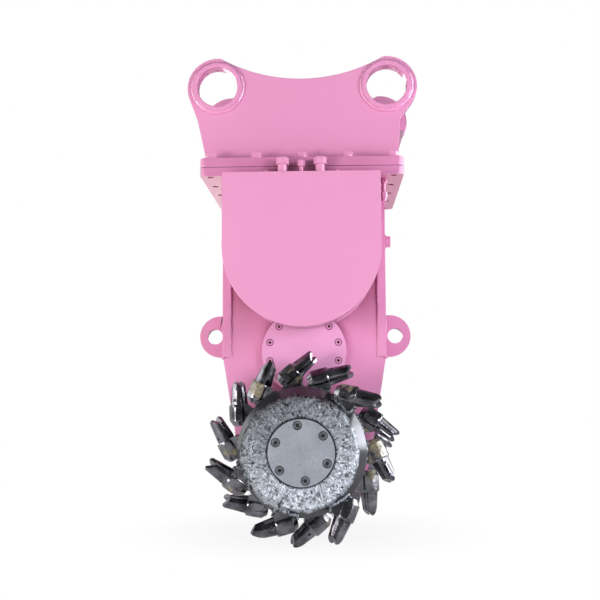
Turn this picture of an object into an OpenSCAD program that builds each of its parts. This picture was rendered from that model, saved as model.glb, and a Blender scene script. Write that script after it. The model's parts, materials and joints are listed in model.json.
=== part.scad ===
// Twin-drum cutter for an excavator stick: bracket on top, gearcase in the middle, a drum each side.
// The drum axis runs along Y at height zero, and the whole is placed by its left pin bore.

/* [Bracket] */
// Distance between the two pin bores
pin_spacing = 447; // [380:1:480]
// Height of the pin bores above the drum axis
pin_z = 948; // [930:1:1000]
// Diameter of the pin bores
pin_bore_d = 106; // [80:1:108]
// Thickness of the ring of a pin boss round its bore
boss_ring_t = 12; // [8:1:15]
// Clear gap between the bosses of the two ears
boss_gap = 310; // [260:1:320]
// How far a boss stands out of the inner face of its ear
boss_proud_in = 6; // [3:1:10]
// How far a boss stands out of the outer face of its ear
boss_proud_out = 12; // [6:1:16]
// Thickness of an ear plate
ear_t = 25; // [18:1:30]
// Radius of the round end of an ear round each pin
ear_end_r = 81; // [76:1:84]
// Half width of an ear at its foot
ear_foot_x = 252; // [240:1:256]
// Half width of an ear at its left waist
ear_waist_left = 277; // [262:1:286]
// Half width of an ear at its right waist
ear_waist_right = 260; // [256:1:286]
// Height of the ear waist above the base plate
ear_waist_h = 115; // [90:1:130]
// Depth of the concave top edge of an ear below the tops of the pins
ear_dip = 58; // [50:1:80]
// Radius of the concave top edge of an ear
ear_dip_r = 432; // [400:5:600]
// Thickness of a cross bar between the ears
cross_bar_t = 20; // [12:1:26]
// Height of a cross bar between the ears
cross_bar_h = 62; // [40:1:80]
// Height of the cross bars above the base plate
cross_bar_z = 89; // [70:1:110]

/* [Flange] */
// Distance from the outer bolts to the side edge of the flange and of the base plate
flange_side_edge = 27; // [20:1:40]
// Half depth of the flange and of the base plate
flange_y = 245; // [240:1:262]
// Thickness of the housing flange
flange_t = 23; // [18:1:30]
// Thickness of the bracket base plate
base_t = 25; // [18:1:32]
// Corner radius of both plates
flange_corner_r = 18; // [8:1:30]
// Height of the underside of the housing flange above the drum axis
flange_z = 697; // [690:1:720]
// Diameter of the flange bolts
flange_bolt_d = 16; // [12:1:18]
// Clear gap between the outer bolts and the side plates
flange_bolt_gap = 8; // [4:0.5:12]

/* [Motor box] */
// Thickness of the flat motor cover
cover_t = 14; // [8:1:20]
// How far the motor cover stands out round its box
cover_lip = 7; // [4:1:12]
// Thickness of the wall of the motor box
box_t = 12; // [8:1:16]
// Distance from the middle plane to the face of the motor cover
box_face_y = 290; // [286:1:300]

/* [Gearcase] */
// Half depth of the gearcase
case_y = 85; // [82:1:88]
// Half width of the gearcase between the side plates, and of the flat motor cover
case_x = 200; // [196:1:204]
// How far the shoulders of the gearcase stand out beyond its sides
case_shoulder_step = 19; // [14:1:20]
// Height of the shoulders above the drum axis
case_shoulder_z = 236; // [220:1:240]
// Clear space between the output gear and the round end of the gearcase
gear_end_gap = 18; // [14:1:22]
// Thickness of the gearcase wall round its edge
case_rim_t = 15; // [10:1:18]
// Thickness of the front and rear walls of the gearcase
case_wall_t = 18; // [14:1:20]
// Thickness of a side plate
side_t = 20; // [14:1:24]
// Half depth of a side plate
side_y = 90; // [86:1:96]
// Radius of a lifting lug
lug_r = 57.5; // [50:0.5:64]
// Thickness of a lifting lug
lug_t = 30; // [20:1:40]
// Diameter of the hole in a lifting lug
lug_hole_d = 41; // [30:1:46]
// Height of the lifting lugs above the drum axis
lug_z = 295; // [290:1:320]
// Radius of the idler cover
idler_cover_r = 113; // [108:1:116]
// Thickness of the idler cover outside the gearcase
idler_cover_t = 18; // [14:1:20]

/* [Gears] */
// Module of the gears
gear_m = 10;
// Teeth of the output gear on the drum shaft
output_teeth = 27; // [26:1:28]
// Teeth of the idler gear
idler_teeth = 23; // [22:1:24]
// Teeth of the motor gear
motor_teeth = 28; // [26:1:29]
// Face width of the gears
gear_w = 80; // [60:1:84]
// Backlash of each gear along its pitch circle
backlash = 0.5; // [0.3:0.05:0.8]

/* [Drum] */
// Radius of the drum body
drum_r = 156; // [150:1:160]
// Width of the bevel round the end face of the drum
drum_bevel_w = 25; // [16:1:36]
// Distance from the middle plane to the end face of a drum
drum_face_y = 372; // [368:1:390]
// Distance from the middle plane to the inner end of a drum
drum_inner_y = 112; // [108:1:116]
// Length of the bevel between the drum body and its end face
drum_bevel = 34; // [20:1:40]
// Radius of the end cover
end_cover_r = 79.5; // [76:0.5:84]
// How far the end cover stands out of the drum face
end_cover_proud = 6.5; // [4:0.5:10]
// Radius of the screw circle of the end cover
end_screw_pcr = 65.5; // [63:0.5:67]

/* [Teeth] */
// Number of teeth round each drum
tooth_n = 14; // [10:1:16]
// How far the innermost tooth tips stand out of the drum body
tooth_reach = 84; // [82:1:92]
// How much lower each row further out stands
row_drop = 7; // [0:0.5:8]
// Length of a tooth cap
tooth_len = 60; // [54:1:66]
// Radius of a tooth cap at its base
tooth_r = 22.5; // [20:0.5:25]
// Lean of a tooth outward from the direction in which it cuts
tooth_lean = 48; // [40:1:52]
// Turn of the two points of a tooth about its own axis, to which each tooth adds its own
tooth_twist = 10; // [0:1:30]
// Skew of the outermost teeth towards the end of the drum
tooth_skew = 12; // [0:1:14]
// Radius of a tooth holder
holder_r = 28; // [27:0.5:29]
// Angle of the first tooth from the vertical
first_tooth_angle = -44.6; // [-60:0.2:60]

/* [Hidden] */
$fn = 64;

// Clearances, and the overrun of every cut
seat_gap = 0.05;
running_gap = 0.06;
free_gap = 0.5;
over = 2;

// Colours
paint = [0.95, 0.64, 0.81];
bare_steel = [0.72, 0.73, 0.76];
dark_steel = [0.24, 0.24, 0.27];
zinc = [0.80, 0.80, 0.82];
rubber = [0.10, 0.10, 0.10];

// Bracket
boss_d = pin_bore_d + 2 * boss_ring_t;
boss_in_y = boss_gap / 2;
ear_in_y = boss_in_y + boss_proud_in;
ear_out_y = ear_in_y + ear_t;
boss_out_y = ear_out_y + boss_proud_out;
base_z = flange_z + flange_t;
base_top_z = base_z + base_t;
pin_x = pin_spacing / 2;
ear_waist_z = base_top_z + ear_waist_h;
ear_dip_z = pin_z + ear_end_r - ear_dip;
cross_bar_peep = 11;
cross_bar_x = ear_waist_right - cross_bar_t / 2 + cross_bar_peep;

// Bolts: a hex head is 1.5 bolt diameters across flats
head_share = 1.5 / cos(30) / 2;
head_h_share = 0.65;
washer_r_share = 0.95;
washer_t = 4;
bolt_recess = 4;
bolt_clear = 0.75;
flange_bolt_x = case_x + side_t + flange_bolt_d / 2 + flange_bolt_gap;
flange_bolt_pitch = flange_bolt_x / 2;
flange_x = flange_bolt_x + flange_side_edge;
flange_bolt_edge = 20;
flange_bolt_y = flange_y - flange_bolt_edge;
row_y_shares = [-1, -0.5, 0, 0.5, 1];

// Gearcase and gear train
idler_z = gear_m * (output_teeth + idler_teeth) / 2;
motor_z = idler_z + gear_m * (idler_teeth + motor_teeth) / 2;
output_tip_r = gear_m * (output_teeth / 2 + 1);
case_end_r = output_tip_r + gear_end_gap + case_rim_t;
case_shoulder_x = case_x + case_shoulder_step;
case_in_y = case_y - case_wall_t;
gear_side_gap = 6;
bearing_lip = 4;
hub_face_y = gear_w / 2 + gear_side_gap;
bearing_in_y = hub_face_y + bearing_lip;
bearing_out_y = case_y - free_gap;
gear_seat_r = 62;
gear_seat_step = 7;
output_seat_r = gear_seat_r - gear_seat_step;
output_race_step = 30;
output_race_r = output_seat_r + output_race_step;
race_t = 9;
motor_gear_seat_r = 50;
motor_seat_step = 5;
motor_seat_r = motor_gear_seat_r - motor_seat_step;
motor_race_step = 35;
motor_race_r = motor_seat_r + motor_race_step;
boss_wall = 15;
key_w = 20;
key_h = 14;
cavity_r = case_end_r - case_rim_t;
side_z = case_shoulder_z;

// Motor box and fittings
cover_r = case_x;
box_r = cover_r - cover_lip;
box_end_y = box_face_y - cover_t;
ledge_y = (box_face_y + flange_y) / 2;
port_x = 48;
port_neck_r = 12.5;
port_neck_h = 21;
port_head_r = 16.5;
port_head_h = 18;
port_stub_r = 8;
bleed_neck_r = 6;
bleed_neck_h = 16;
bleed_head_r = 9.5;
bleed_head_h = 16;
manifold_bolt_x = 90;
manifold_bolt_r = 6;
manifold_bolt_h = 7;
breather_x = 213;
breather_y = 190;
breather_r = 9;
breather_shares = [[1, 0.2], [0.55, 0.4], [1, 0.25], [0.7, 0.15]];
breather_h = 60;
level_z = 553;
level_y = 40;
level_r = 15.5;
level_collar_r = 19;
level_collar_h = 5;
level_head_h = 12;
level_flush_share = 0.25;
lug_out = 14;
lug_hole_out = 14.5;
lug_x = case_x + side_t + lug_out;
lug_hole_x = lug_x + lug_hole_out;

// Idler
idler_pin_r = 45;
idler_race_step = 23;
idler_race_r = idler_pin_r + idler_race_step;
idler_pilot_r = 85;
idler_pocket = 5;
idler_screw_edge = 18.5;
idler_screw_pcr = idler_cover_r - idler_screw_edge;
idler_screw_n = 12;
idler_screw_start = 180 / idler_screw_n;
idler_screw_d = 10;

// Bearing carrier
carrier_r = 130;
carrier_t = 18;
seal_step = 19;
carrier_bore_r = output_seat_r + seal_step;
carrier_race_step = 25;
carrier_race_r = output_seat_r + carrier_race_step;
carrier_neck_t = 20;
carrier_neck_r = carrier_race_r + carrier_neck_t;
carrier_neck_y = 205;
carrier_race_y = 160;
carrier_race_w = 35;
seal_w = 8;
carrier_screw_pcr = 116;
carrier_screw_n = 8;
carrier_screw_d = 12;

// Hydraulic motor
motor_flange_r = 135;
motor_flange_t = 25;
motor_body_gap = 31;
motor_body_r = box_r - box_t - motor_body_gap;
motor_body_y = 235;
motor_cap_r = 110;
motor_cap_y = 258;
motor_spline_step = 7;
motor_spline_r = motor_seat_r - motor_spline_step;
motor_spline_y = 170;
motor_screw_pcr = 118;
motor_screw_n = 8;
motor_screw_start = 180 / motor_screw_n;
motor_screw_d = 14;

// Drum
drum_face_r = drum_r - drum_bevel_w;
hub_in_y = 215;
hub_out_y = 340;
drum_wall_t = 16;
drum_cavity_r = drum_r - drum_wall_t;
hub_step = 5;
hub_r = output_seat_r - hub_step;
thread_r = 38;
nut_recess_r = 55;
nut_r = 52;
nut_t = 20;
nut_slot_w = 12;
nut_slot_d = 7;
cover_pocket = 6;
cover_top_y = drum_face_y + end_cover_proud;
drum_key_w = 24;
drum_key_h = 16;
drum_key_in_y = 235;
end_screw_n = 6;
end_screw_angle = -22;
end_screw_d = 12;
end_screw_grip = 25;
screw_head_share = 0.78;
socket_share = 0.42;
socket_depth_share = 0.5;
counterbore_gap = 1.8;

// Teeth: the rows run from the end face inward, and row_pattern gives the row of each tooth
tip_r = drum_r + tooth_reach;
first_row = 22;
row_pitch = 89;
row_y = [for (i = [0:2]) drum_face_y - first_row - i * row_pitch];
row_pattern = [2, 1, 2, 1, 0, 2, 1, 2, 0, 1, 0, 1, 0, 1, 2, 1];
row_skew_shares = [1, 0.5, 0];
row_drop_shares = [2, 1, 0];
twist_pattern = [20, -5, 45, 45, 30, 60, 10, 15, 20, 10, -10, 40, 45, 35, 20, 0];
nose_r = 14;
nose_len = 22;
nose_gap = 0.3;
tooth_pin_r = 4.5;
tooth_pin_t = 11;
tooth_tip_r = 16.5;
tooth_side_shares = [[0, 1.1], [0.4, 0.94], [0.72, 0.62], [0.96, 0.2], [1, 0.02], [0.975, -0.1],
    [0.72, -0.8], [0.36, -1.02], [0, -1.1]];
tooth_plan_shares = [[0, 1.1], [0.35, 0.97], [0.88, 0.72], [0.985, 0.62], [1, 0.44], [0.7, 0.03],
    [0.7, -0.03], [1, -0.44], [0.985, -0.62], [0.88, -0.72], [0.35, -0.97], [0, -1.1]];
groove_start_share = 0.12;
groove_r_share = 0.36;
groove_slope = 15;
holder_len = 54;
holder_w = 47;
holder_flat_share = 0.95;
holder_profile_shares = [[0, 0], [0.9, 0], [0.96, 0.06], [1, 0.34], [0.98, 0.76], [0.66, 1], [0, 1]];
holder_foot_shares = [[0, 0.2], [0, -0.88], [-0.16, -1.2], [-1.2, -2.9], [-2.3, -2.4],
    [-1.2, -0.85], [-0.96, -0.2]];

function involute(a) = tan(a) * 180 / PI - a;
pressure_angle = 20;
flank_steps = 5;
root_flare = 4;
// Half the angle that a tooth takes up at radius r
function half_tooth(z, r) = let(
        pitch_r = gear_m * z / 2,
        base_r = pitch_r * cos(pressure_angle),
        a = r > base_r ? acos(base_r / r) : 0)
    90 / z - backlash / 2 / pitch_r * 180 / PI + involute(pressure_angle) - involute(a);
// Outline of a gear with one tooth centred on the X axis
function gear_points(z) = let(
        pitch_r = gear_m * z / 2,
        root_r = pitch_r - 1.25 * gear_m,
        low_r = max(root_r, pitch_r * cos(pressure_angle)),
        tip = pitch_r + gear_m,
        radii = [for (i = [0:flank_steps]) low_r + (tip - low_r) * i / flank_steps])
    [for (k = [0:z - 1]) let(c = 360 * k / z) each concat(
        [let(a = c - half_tooth(z, low_r) - root_flare / z) root_r * [cos(a), sin(a)]],
        [for (r = radii) let(a = c - half_tooth(z, r)) r * [cos(a), sin(a)]],
        [for (i = [flank_steps:-1:0]) let(a = c + half_tooth(z, radii[i])) radii[i] * [cos(a), sin(a)]],
        [let(a = c + half_tooth(z, low_r) + root_flare / z) root_r * [cos(a), sin(a)]])];
output_phase = 90;
idler_phase = -90 + 180 / idler_teeth;
motor_phase = idler_teeth % 2 == 1 ? -90 + 180 / motor_teeth : -90;

// Point where a tangent from p touches a circle round c, on the side given by turn
function tangent_point(p, c, r, turn) = let(d = p - c, a = atan2(d[1], d[0]) + turn * acos(r / norm(d)))
    c + r * [cos(a), sin(a)];

// Puts the whole object in its own frame, with the left pin bore at the origin
module in_frame() translate([pin_x, 0, -pin_z]) children();

// The front is the mirror image of the rear
module front() mirror([0, 1, 0]) children();
module both_ends() {
    children();
    front() children();
}

// Extrudes an outline drawn in X and Z from depth y0 to depth y1
module plate_xz(y0, y1) translate([0, y1, 0]) rotate([90, 0, 0]) linear_extrude(y1 - y0) children();

// Round bar along Y from depth y0 to depth y1, its axis at x and z
module bar_y(r, y0, y1, x = 0, z = 0) translate([x, y0, z]) rotate([-90, 0, 0]) cylinder(r = r, h = y1 - y0);

// Ring along Y
module ring_y(r_in, r_out, y0, y1, z = 0) difference() {
    bar_y(r_out, y0, y1, 0, z);
    bar_y(r_in, y0 - over, y1 + over, 0, z);
}

// Places n copies round a circle about Y, the first at an angle from the X axis
module round_y(n, pcr, z = 0, start = 0) for (i = [0:n - 1])
    let(a = start + 360 * i / n) translate([pcr * cos(a), 0, z + pcr * sin(a)]) children();

// Socket screw along Y with its head ending at depth y1 and its shank ending at y0
module socket_screw(d, y0, y1) difference() {
    union() {
        bar_y(d / 2, y0, y1 - d * screw_head_share + over);
        bar_y(d * screw_head_share, y1 - d * screw_head_share, y1);
    }
    translate([0, y1 - d * socket_depth_share, 0]) rotate([-90, 0, 0])
        cylinder(r = d * socket_share, h = d, $fn = 6);
}

module plate_outline() {
    x = flange_x - flange_corner_r;
    y = flange_y - flange_corner_r;
    square([2 * x, 2 * flange_y], center = true);
    square([2 * flange_x, 2 * y], center = true);
    for (sx = [-1, 1], sy = [-1, 1]) translate([sx * x, sy * y]) circle(r = flange_corner_r);
}

// A row of bolts along each side, and more between them at the front and the rear
module at_flange_bolts() {
    for (sx = [-1, 1], s = row_y_shares)
        translate([2 * sx * flange_bolt_pitch, s * flange_bolt_y, 0]) children();
    for (i = [-1:1], sy = [-1, 1])
        translate([i * flange_bolt_pitch, sy * flange_bolt_y, 0]) children();
}

module ear_outline() {
    left = [-pin_x, pin_z];
    right = [pin_x, pin_z];
    waist_left = [-ear_waist_left, ear_waist_z];
    waist_right = [ear_waist_right, ear_waist_z];
    difference() {
        union() {
            translate(left) circle(r = ear_end_r, $fn = 96);
            translate(right) circle(r = ear_end_r, $fn = 96);
            polygon([[-ear_foot_x, base_top_z], [ear_foot_x, base_top_z], waist_right,
                tangent_point(waist_right, right, ear_end_r, 1), right,
                right + [-ear_end_r / 3, ear_end_r * 0.9], left + [ear_end_r / 3, ear_end_r * 0.9], left,
                tangent_point(waist_left, left, ear_end_r, -1), waist_left]);
        }
        translate([0, ear_dip_z + ear_dip_r]) circle(r = ear_dip_r, $fn = 128);
        for (p = [left, right]) translate(p) circle(d = boss_d, $fn = 96);
    }
}
module ear_plate() color(paint) plate_xz(ear_in_y, ear_out_y) ear_outline();
module ear_plate_front() front() ear_plate();
module ear_plate_rear() ear_plate();

module pin_bosses() color(paint) for (sx = [-1, 1]) difference() {
    bar_y(boss_d / 2, boss_in_y, boss_out_y, sx * pin_x, pin_z);
    bar_y(pin_bore_d / 2, boss_in_y - over, boss_out_y + over, sx * pin_x, pin_z);
}
module pin_bosses_front() front() pin_bosses();
module pin_bosses_rear() pin_bosses();

// The bars are relieved round the pin bosses
module cross_bars() color(paint) for (sx = [-1, 1]) difference() {
    translate([sx * cross_bar_x - cross_bar_t / 2, -ear_in_y, base_top_z + cross_bar_z])
        cube([cross_bar_t, 2 * ear_in_y, cross_bar_h]);
    bar_y(boss_d / 2 + free_gap, -ear_out_y, ear_out_y, sx * pin_x, pin_z);
}

module bracket_base_plate() color(paint) difference() {
    translate([0, 0, base_z]) linear_extrude(base_t) plate_outline();
    translate([0, 0, base_z - over]) at_flange_bolts()
        cylinder(d = flange_bolt_d + 2 * bolt_clear, h = base_t + 2 * over);
}

// The tapped holes go right through
module housing_flange() color(paint) difference() {
    translate([0, 0, flange_z]) linear_extrude(flange_t) plate_outline();
    translate([0, 0, flange_z - over]) at_flange_bolts()
        cylinder(d = flange_bolt_d + 2 * seat_gap, h = flange_t + 2 * over);
}

// Hex bolt with a washer under its head, standing on the base plate
module flange_bolt(bottom_z) {
    translate([0, 0, bottom_z]) cylinder(d = flange_bolt_d, h = base_top_z - bottom_z + over);
    translate([0, 0, base_top_z]) cylinder(r = flange_bolt_d * washer_r_share, h = washer_t);
    translate([0, 0, base_top_z + washer_t])
        cylinder(r = flange_bolt_d * head_share, h = flange_bolt_d * head_h_share, $fn = 6);
}
module flange_bolts() color(paint) at_flange_bolts() flange_bolt(flange_z + bolt_recess);

module side_plate(s) color(paint) difference() {
    translate([s > 0 ? case_x : -case_x - side_t, -side_y, side_z])
        cube([side_t, 2 * side_y, flange_z - side_z]);
    translate([s * (case_x - over), -level_y, level_z]) rotate([0, s * 90, 0])
        cylinder(r = level_r / 2 + seat_gap, h = side_t + 2 * over);
}
module side_plate_left() side_plate(-1);
module side_plate_right() side_plate(1);

// Round plate cut off where it meets the side plate
module lifting_lug(s) color(paint) plate_xz(-lug_t / 2, lug_t / 2) difference() {
    translate([s * lug_x, lug_z]) circle(r = lug_r, $fn = 96);
    translate([s * lug_hole_x, lug_z]) circle(d = lug_hole_d);
    translate([s > 0 ? case_x + side_t - 2 * lug_r : -case_x - side_t, lug_z - 2 * lug_r])
        square([2 * lug_r, 4 * lug_r]);
}
module lifting_lug_left() lifting_lug(-1);
module lifting_lug_right() lifting_lug(1);

// Flat on top and round below, about the motor axis
module d_outline(r, top_z) {
    difference() {
        translate([0, motor_z]) circle(r = r, $fn = 128);
        translate([-r, motor_z]) square([2 * r, 2 * r]);
    }
    translate([-r, motor_z]) square([2 * r, top_z - motor_z]);
}
module motor_box() difference() {
    plate_xz(case_y, box_end_y) difference() {
        d_outline(box_r, flange_z);
        d_outline(box_r - box_t, flange_z - box_t);
    }
    bar_y(idler_cover_r + 4 * free_gap, case_y - over, case_y + idler_cover_t + 4 * free_gap, 0, idler_z);
}
module motor_box_front() color(paint) difference() {
    front() motor_box();
    translate([0, -ledge_y, flange_z - box_t - over]) {
        for (sx = [-1, 1]) translate([sx * port_x, 0, 0])
            cylinder(r = port_stub_r + seat_gap, h = box_t + 2 * over);
    }
}
module motor_box_rear() color(paint) motor_box();
module motor_cover() color(paint) plate_xz(box_end_y, box_face_y) d_outline(cover_r, flange_z);
module motor_cover_front() front() motor_cover();
module motor_cover_rear() motor_cover();

module port_caps() color(paint) for (sx = [-1, 1]) translate([sx * port_x, -ledge_y, flange_z]) {
    cylinder(r = port_neck_r, h = port_neck_h);
    translate([0, 0, port_neck_h]) cylinder(r = port_head_r, h = port_head_h, $fn = 6);
    translate([0, 0, -box_t]) cylinder(r = port_stub_r, h = box_t + over);
}
module bleed_plug() color(paint) translate([0, -ledge_y, flange_z]) {
    cylinder(r = bleed_neck_r, h = bleed_neck_h);
    translate([0, 0, bleed_neck_h]) cylinder(r = bleed_head_r, h = bleed_head_h, $fn = 6);
}
module manifold_bolts() color(paint) for (sx = [-1, 1])
    translate([sx * manifold_bolt_x, -ledge_y, flange_z])
        cylinder(r = manifold_bolt_r, h = manifold_bolt_h, $fn = 6);

function share_sum(v, n) = n == 0 ? 0 : v[n - 1][1] + share_sum(v, n - 1);
// Hex and round steps hanging from the underside of the flange
module breather_stack() color(paint) for (i = [0:len(breather_shares) - 1])
    let(s = breather_shares[i], top = flange_z - breather_h * share_sum(breather_shares, i))
        translate([breather_x, -breather_y, top - breather_h * s[1]])
            cylinder(r = breather_r * s[0], h = breather_h * s[1], $fn = i == 1 ? 32 : 6);

module level_plugs() color(paint) for (s = [-1, 1])
    translate([s * (case_x + side_t), -level_y, level_z]) rotate([0, s * 90, 0]) {
        translate([0, 0, -side_t]) cylinder(r = level_r / 2, h = side_t + over);
        cylinder(r = level_collar_r, h = level_collar_h);
        translate([0, 0, level_collar_h])
            cylinder(r = level_r, h = level_head_h * (s < 0 ? level_flush_share : 1), $fn = 6);
    }

// Gearcase outline, drawn in by a margin all round
module case_outline(inset) {
    r = case_end_r - inset;
    corner = [case_shoulder_x - inset, case_shoulder_z - (inset > 0 ? inset : 0)];
    t = tangent_point(corner, [0, 0], r, -1);
    circle(r = r, $fn = 128);
    polygon([[0, 0], t, corner, [case_x - inset, corner[1]], [case_x - inset, flange_z - inset],
        [inset - case_x, flange_z - inset], [inset - case_x, corner[1]], [-corner[0], corner[1]],
        [-t[0], t[1]]]);
}
module gearcase_half() color(paint) difference() {
    union() {
        difference() {
            plate_xz(0, case_y) case_outline(0);
            plate_xz(-over, case_in_y) case_outline(case_rim_t);
        }
        bar_y(output_race_r + boss_wall, hub_face_y, case_y - over);
        bar_y(motor_race_r + boss_wall, hub_face_y, case_y - over, 0, motor_z);
    }
    bar_y(output_race_r + seat_gap, 0, case_y + over);
    bar_y(motor_race_r + seat_gap, 0, case_y + over, 0, motor_z);
    bar_y(idler_pilot_r + seat_gap, 0, case_y + over, 0, idler_z);
    round_y(idler_screw_n, idler_screw_pcr, idler_z, idler_screw_start)
        bar_y(idler_screw_d / 2 + seat_gap, case_in_y - over, case_y + over);
    round_y(carrier_screw_n, carrier_screw_pcr, 0, 0)
        bar_y(carrier_screw_d / 2 + seat_gap, case_in_y - over, case_y + over);
    round_y(motor_screw_n, motor_screw_pcr, motor_z, motor_screw_start)
        bar_y(motor_screw_d / 2 + seat_gap, case_in_y - over, case_y + over);
}
module gearcase_front() front() gearcase_half();
module gearcase_rear() gearcase_half();

module idler_cover() color(paint) difference() {
    union() {
        bar_y(idler_cover_r, case_y, case_y + idler_cover_t, 0, idler_z);
        bar_y(idler_pilot_r, hub_face_y, case_y + over, 0, idler_z);
    }
    bar_y(idler_pin_r + seat_gap, hub_face_y - over, case_y + idler_pocket, 0, idler_z);
    round_y(idler_screw_n, idler_screw_pcr, idler_z, idler_screw_start) {
        bar_y(idler_screw_d / 2 + bolt_clear, case_y - over, case_y + idler_cover_t + over);
        bar_y(idler_screw_d * screw_head_share + counterbore_gap,
            case_y + idler_cover_t - idler_screw_d * screw_head_share, case_y + idler_cover_t + over);
    }
}
module idler_cover_front() front() idler_cover();
module idler_cover_rear() idler_cover();
module idler_cover_screws() color(paint) both_ends()
    round_y(idler_screw_n, idler_screw_pcr, idler_z, idler_screw_start)
        socket_screw(idler_screw_d, case_in_y + over, case_y + idler_cover_t);

module bearing_carrier() color(paint) difference() {
    union() {
        bar_y(carrier_r, case_y, case_y + carrier_t);
        bar_y(carrier_neck_r, case_y + over, carrier_neck_y);
    }
    bar_y(carrier_bore_r, case_y - over, carrier_race_y + over);
    bar_y(carrier_race_r + seat_gap, carrier_race_y, carrier_race_y + carrier_race_w);
    bar_y(carrier_bore_r, carrier_race_y, carrier_neck_y + over);
    round_y(carrier_screw_n, carrier_screw_pcr, 0, 0) {
        bar_y(carrier_screw_d / 2 + bolt_clear, case_y - over, case_y + carrier_t + over);
        bar_y(carrier_screw_d * screw_head_share + bolt_clear,
            case_y + carrier_t - carrier_screw_d * screw_head_share, case_y + carrier_t + over);
    }
}
module bearing_carrier_front() front() bearing_carrier();
module bearing_carrier_rear() bearing_carrier();
module carrier_screws() color(dark_steel) both_ends() round_y(carrier_screw_n, carrier_screw_pcr, 0, 0)
    socket_screw(carrier_screw_d, case_in_y + over, case_y + carrier_t);

module output_bearing_outer_races() color(bare_steel) both_ends() {
    ring_y(output_race_r - race_t, output_race_r, bearing_in_y, bearing_out_y);
    ring_y(carrier_race_r - race_t, carrier_race_r, carrier_race_y + free_gap,
        carrier_race_y + carrier_race_w - free_gap);
}
module output_bearing_inner_races() color(bare_steel) both_ends() {
    ring_y(output_seat_r + seat_gap, output_race_r - race_t - running_gap, bearing_in_y, bearing_out_y);
    ring_y(output_seat_r + seat_gap, carrier_race_r - race_t - running_gap, carrier_race_y + free_gap,
        carrier_race_y + carrier_race_w - free_gap);
}
module output_shaft_seals() color(rubber) both_ends()
    ring_y(output_seat_r + running_gap, carrier_bore_r, carrier_neck_y - seal_w, carrier_neck_y);

module hydraulic_motor() color(dark_steel) difference() {
    union() {
        bar_y(motor_flange_r, case_y, case_y + motor_flange_t, 0, motor_z);
        bar_y(motor_body_r, case_y + motor_flange_t, motor_body_y, 0, motor_z);
        bar_y(motor_cap_r, motor_body_y, motor_cap_y, 0, motor_z);
    }
    bar_y(motor_spline_r + 2 * free_gap, case_y - over, motor_spline_y + 4 * free_gap, 0, motor_z);
    round_y(motor_screw_n, motor_screw_pcr, motor_z, motor_screw_start)
        bar_y(motor_screw_d / 2 + seat_gap, case_y - over, case_y + motor_flange_t + over);
}
module hydraulic_motor_front() front() hydraulic_motor();
module hydraulic_motor_rear() hydraulic_motor();
// Studs that hold each motor to the gearcase wall
module motor_screws() color(zinc) both_ends()
    round_y(motor_screw_n, motor_screw_pcr, motor_z, motor_screw_start)
        bar_y(motor_screw_d / 2, case_in_y + over, case_y + motor_flange_t);

module gear(z_teeth, phase, axis_z, bore_r) difference() {
    translate([0, gear_w / 2, axis_z]) rotate([90, 0, 0]) linear_extrude(gear_w)
        rotate(phase) polygon(gear_points(z_teeth));
    bar_y(bore_r + seat_gap, -gear_w, gear_w, 0, axis_z);
}
// Key along Y, half sunk in a shaft of radius r
module key_bar(w, h, r, y0, y1, axis_z, gap = 0)
    translate([-w / 2 - gap, y0, axis_z + r - h / 2 - gap]) cube([w + 2 * gap, y1 - y0, h + 2 * gap]);

module motor_shaft() color(bare_steel) difference() {
    union() {
        bar_y(motor_gear_seat_r, -hub_face_y, hub_face_y, 0, motor_z);
        bar_y(motor_seat_r, -case_y, case_y, 0, motor_z);
        bar_y(motor_spline_r, -motor_spline_y, motor_spline_y, 0, motor_z);
    }
    key_bar(key_w, key_h, motor_gear_seat_r, -gear_w / 2, gear_w / 2, motor_z, seat_gap);
}
module motor_gear() color(bare_steel) difference() {
    gear(motor_teeth, motor_phase, motor_z, motor_gear_seat_r);
    key_bar(key_w, key_h, motor_gear_seat_r, -gear_w, gear_w, motor_z, seat_gap);
}
module motor_gear_key() color(dark_steel)
    key_bar(key_w, key_h, motor_gear_seat_r, -gear_w / 2 + over, gear_w / 2 - over, motor_z);
module motor_bearing_outer_races() color(bare_steel) both_ends()
    ring_y(motor_race_r - race_t, motor_race_r, bearing_in_y, bearing_out_y, motor_z);
module motor_bearing_inner_races() color(bare_steel) both_ends()
    ring_y(motor_seat_r + seat_gap, motor_race_r - race_t - running_gap,
        bearing_in_y, bearing_out_y, motor_z);

module idler_pin() color(bare_steel)
    bar_y(idler_pin_r, -case_y - idler_pocket + free_gap, case_y + idler_pocket - free_gap, 0, idler_z);
module idler_gear() color(bare_steel) gear(idler_teeth, idler_phase, idler_z, idler_race_r);
module idler_bearing_outer_race() color(bare_steel)
    ring_y(idler_race_r - race_t, idler_race_r, -gear_w / 2, gear_w / 2, idler_z);
module idler_bearing_inner_race() color(bare_steel)
    ring_y(idler_pin_r + seat_gap, idler_race_r - race_t - running_gap,
        free_gap - hub_face_y, hub_face_y - free_gap, idler_z);

module output_shaft() color(bare_steel) difference() {
    union() {
        bar_y(gear_seat_r, -hub_face_y, hub_face_y);
        bar_y(output_seat_r, -hub_in_y + over, hub_in_y - over);
        bar_y(hub_r, -hub_out_y + over, hub_out_y - over);
        bar_y(thread_r, -hub_out_y - nut_t - over, hub_out_y + nut_t + over);
    }
    key_bar(key_w, key_h, gear_seat_r, -gear_w / 2, gear_w / 2, 0, seat_gap);
    both_ends() key_bar(drum_key_w, drum_key_h, hub_r, drum_key_in_y, hub_out_y, 0, seat_gap);
}
module output_gear() color(bare_steel) difference() {
    gear(output_teeth, output_phase, 0, gear_seat_r);
    key_bar(key_w, key_h, gear_seat_r, -gear_w, gear_w, 0, seat_gap);
}
module output_gear_key() color(dark_steel)
    key_bar(key_w, key_h, gear_seat_r, -gear_w / 2 + over, gear_w / 2 - over, 0);
module drum_keys() color(dark_steel) both_ends()
    key_bar(drum_key_w, drum_key_h, hub_r, drum_key_in_y + over, hub_out_y - over, 0);
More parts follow.
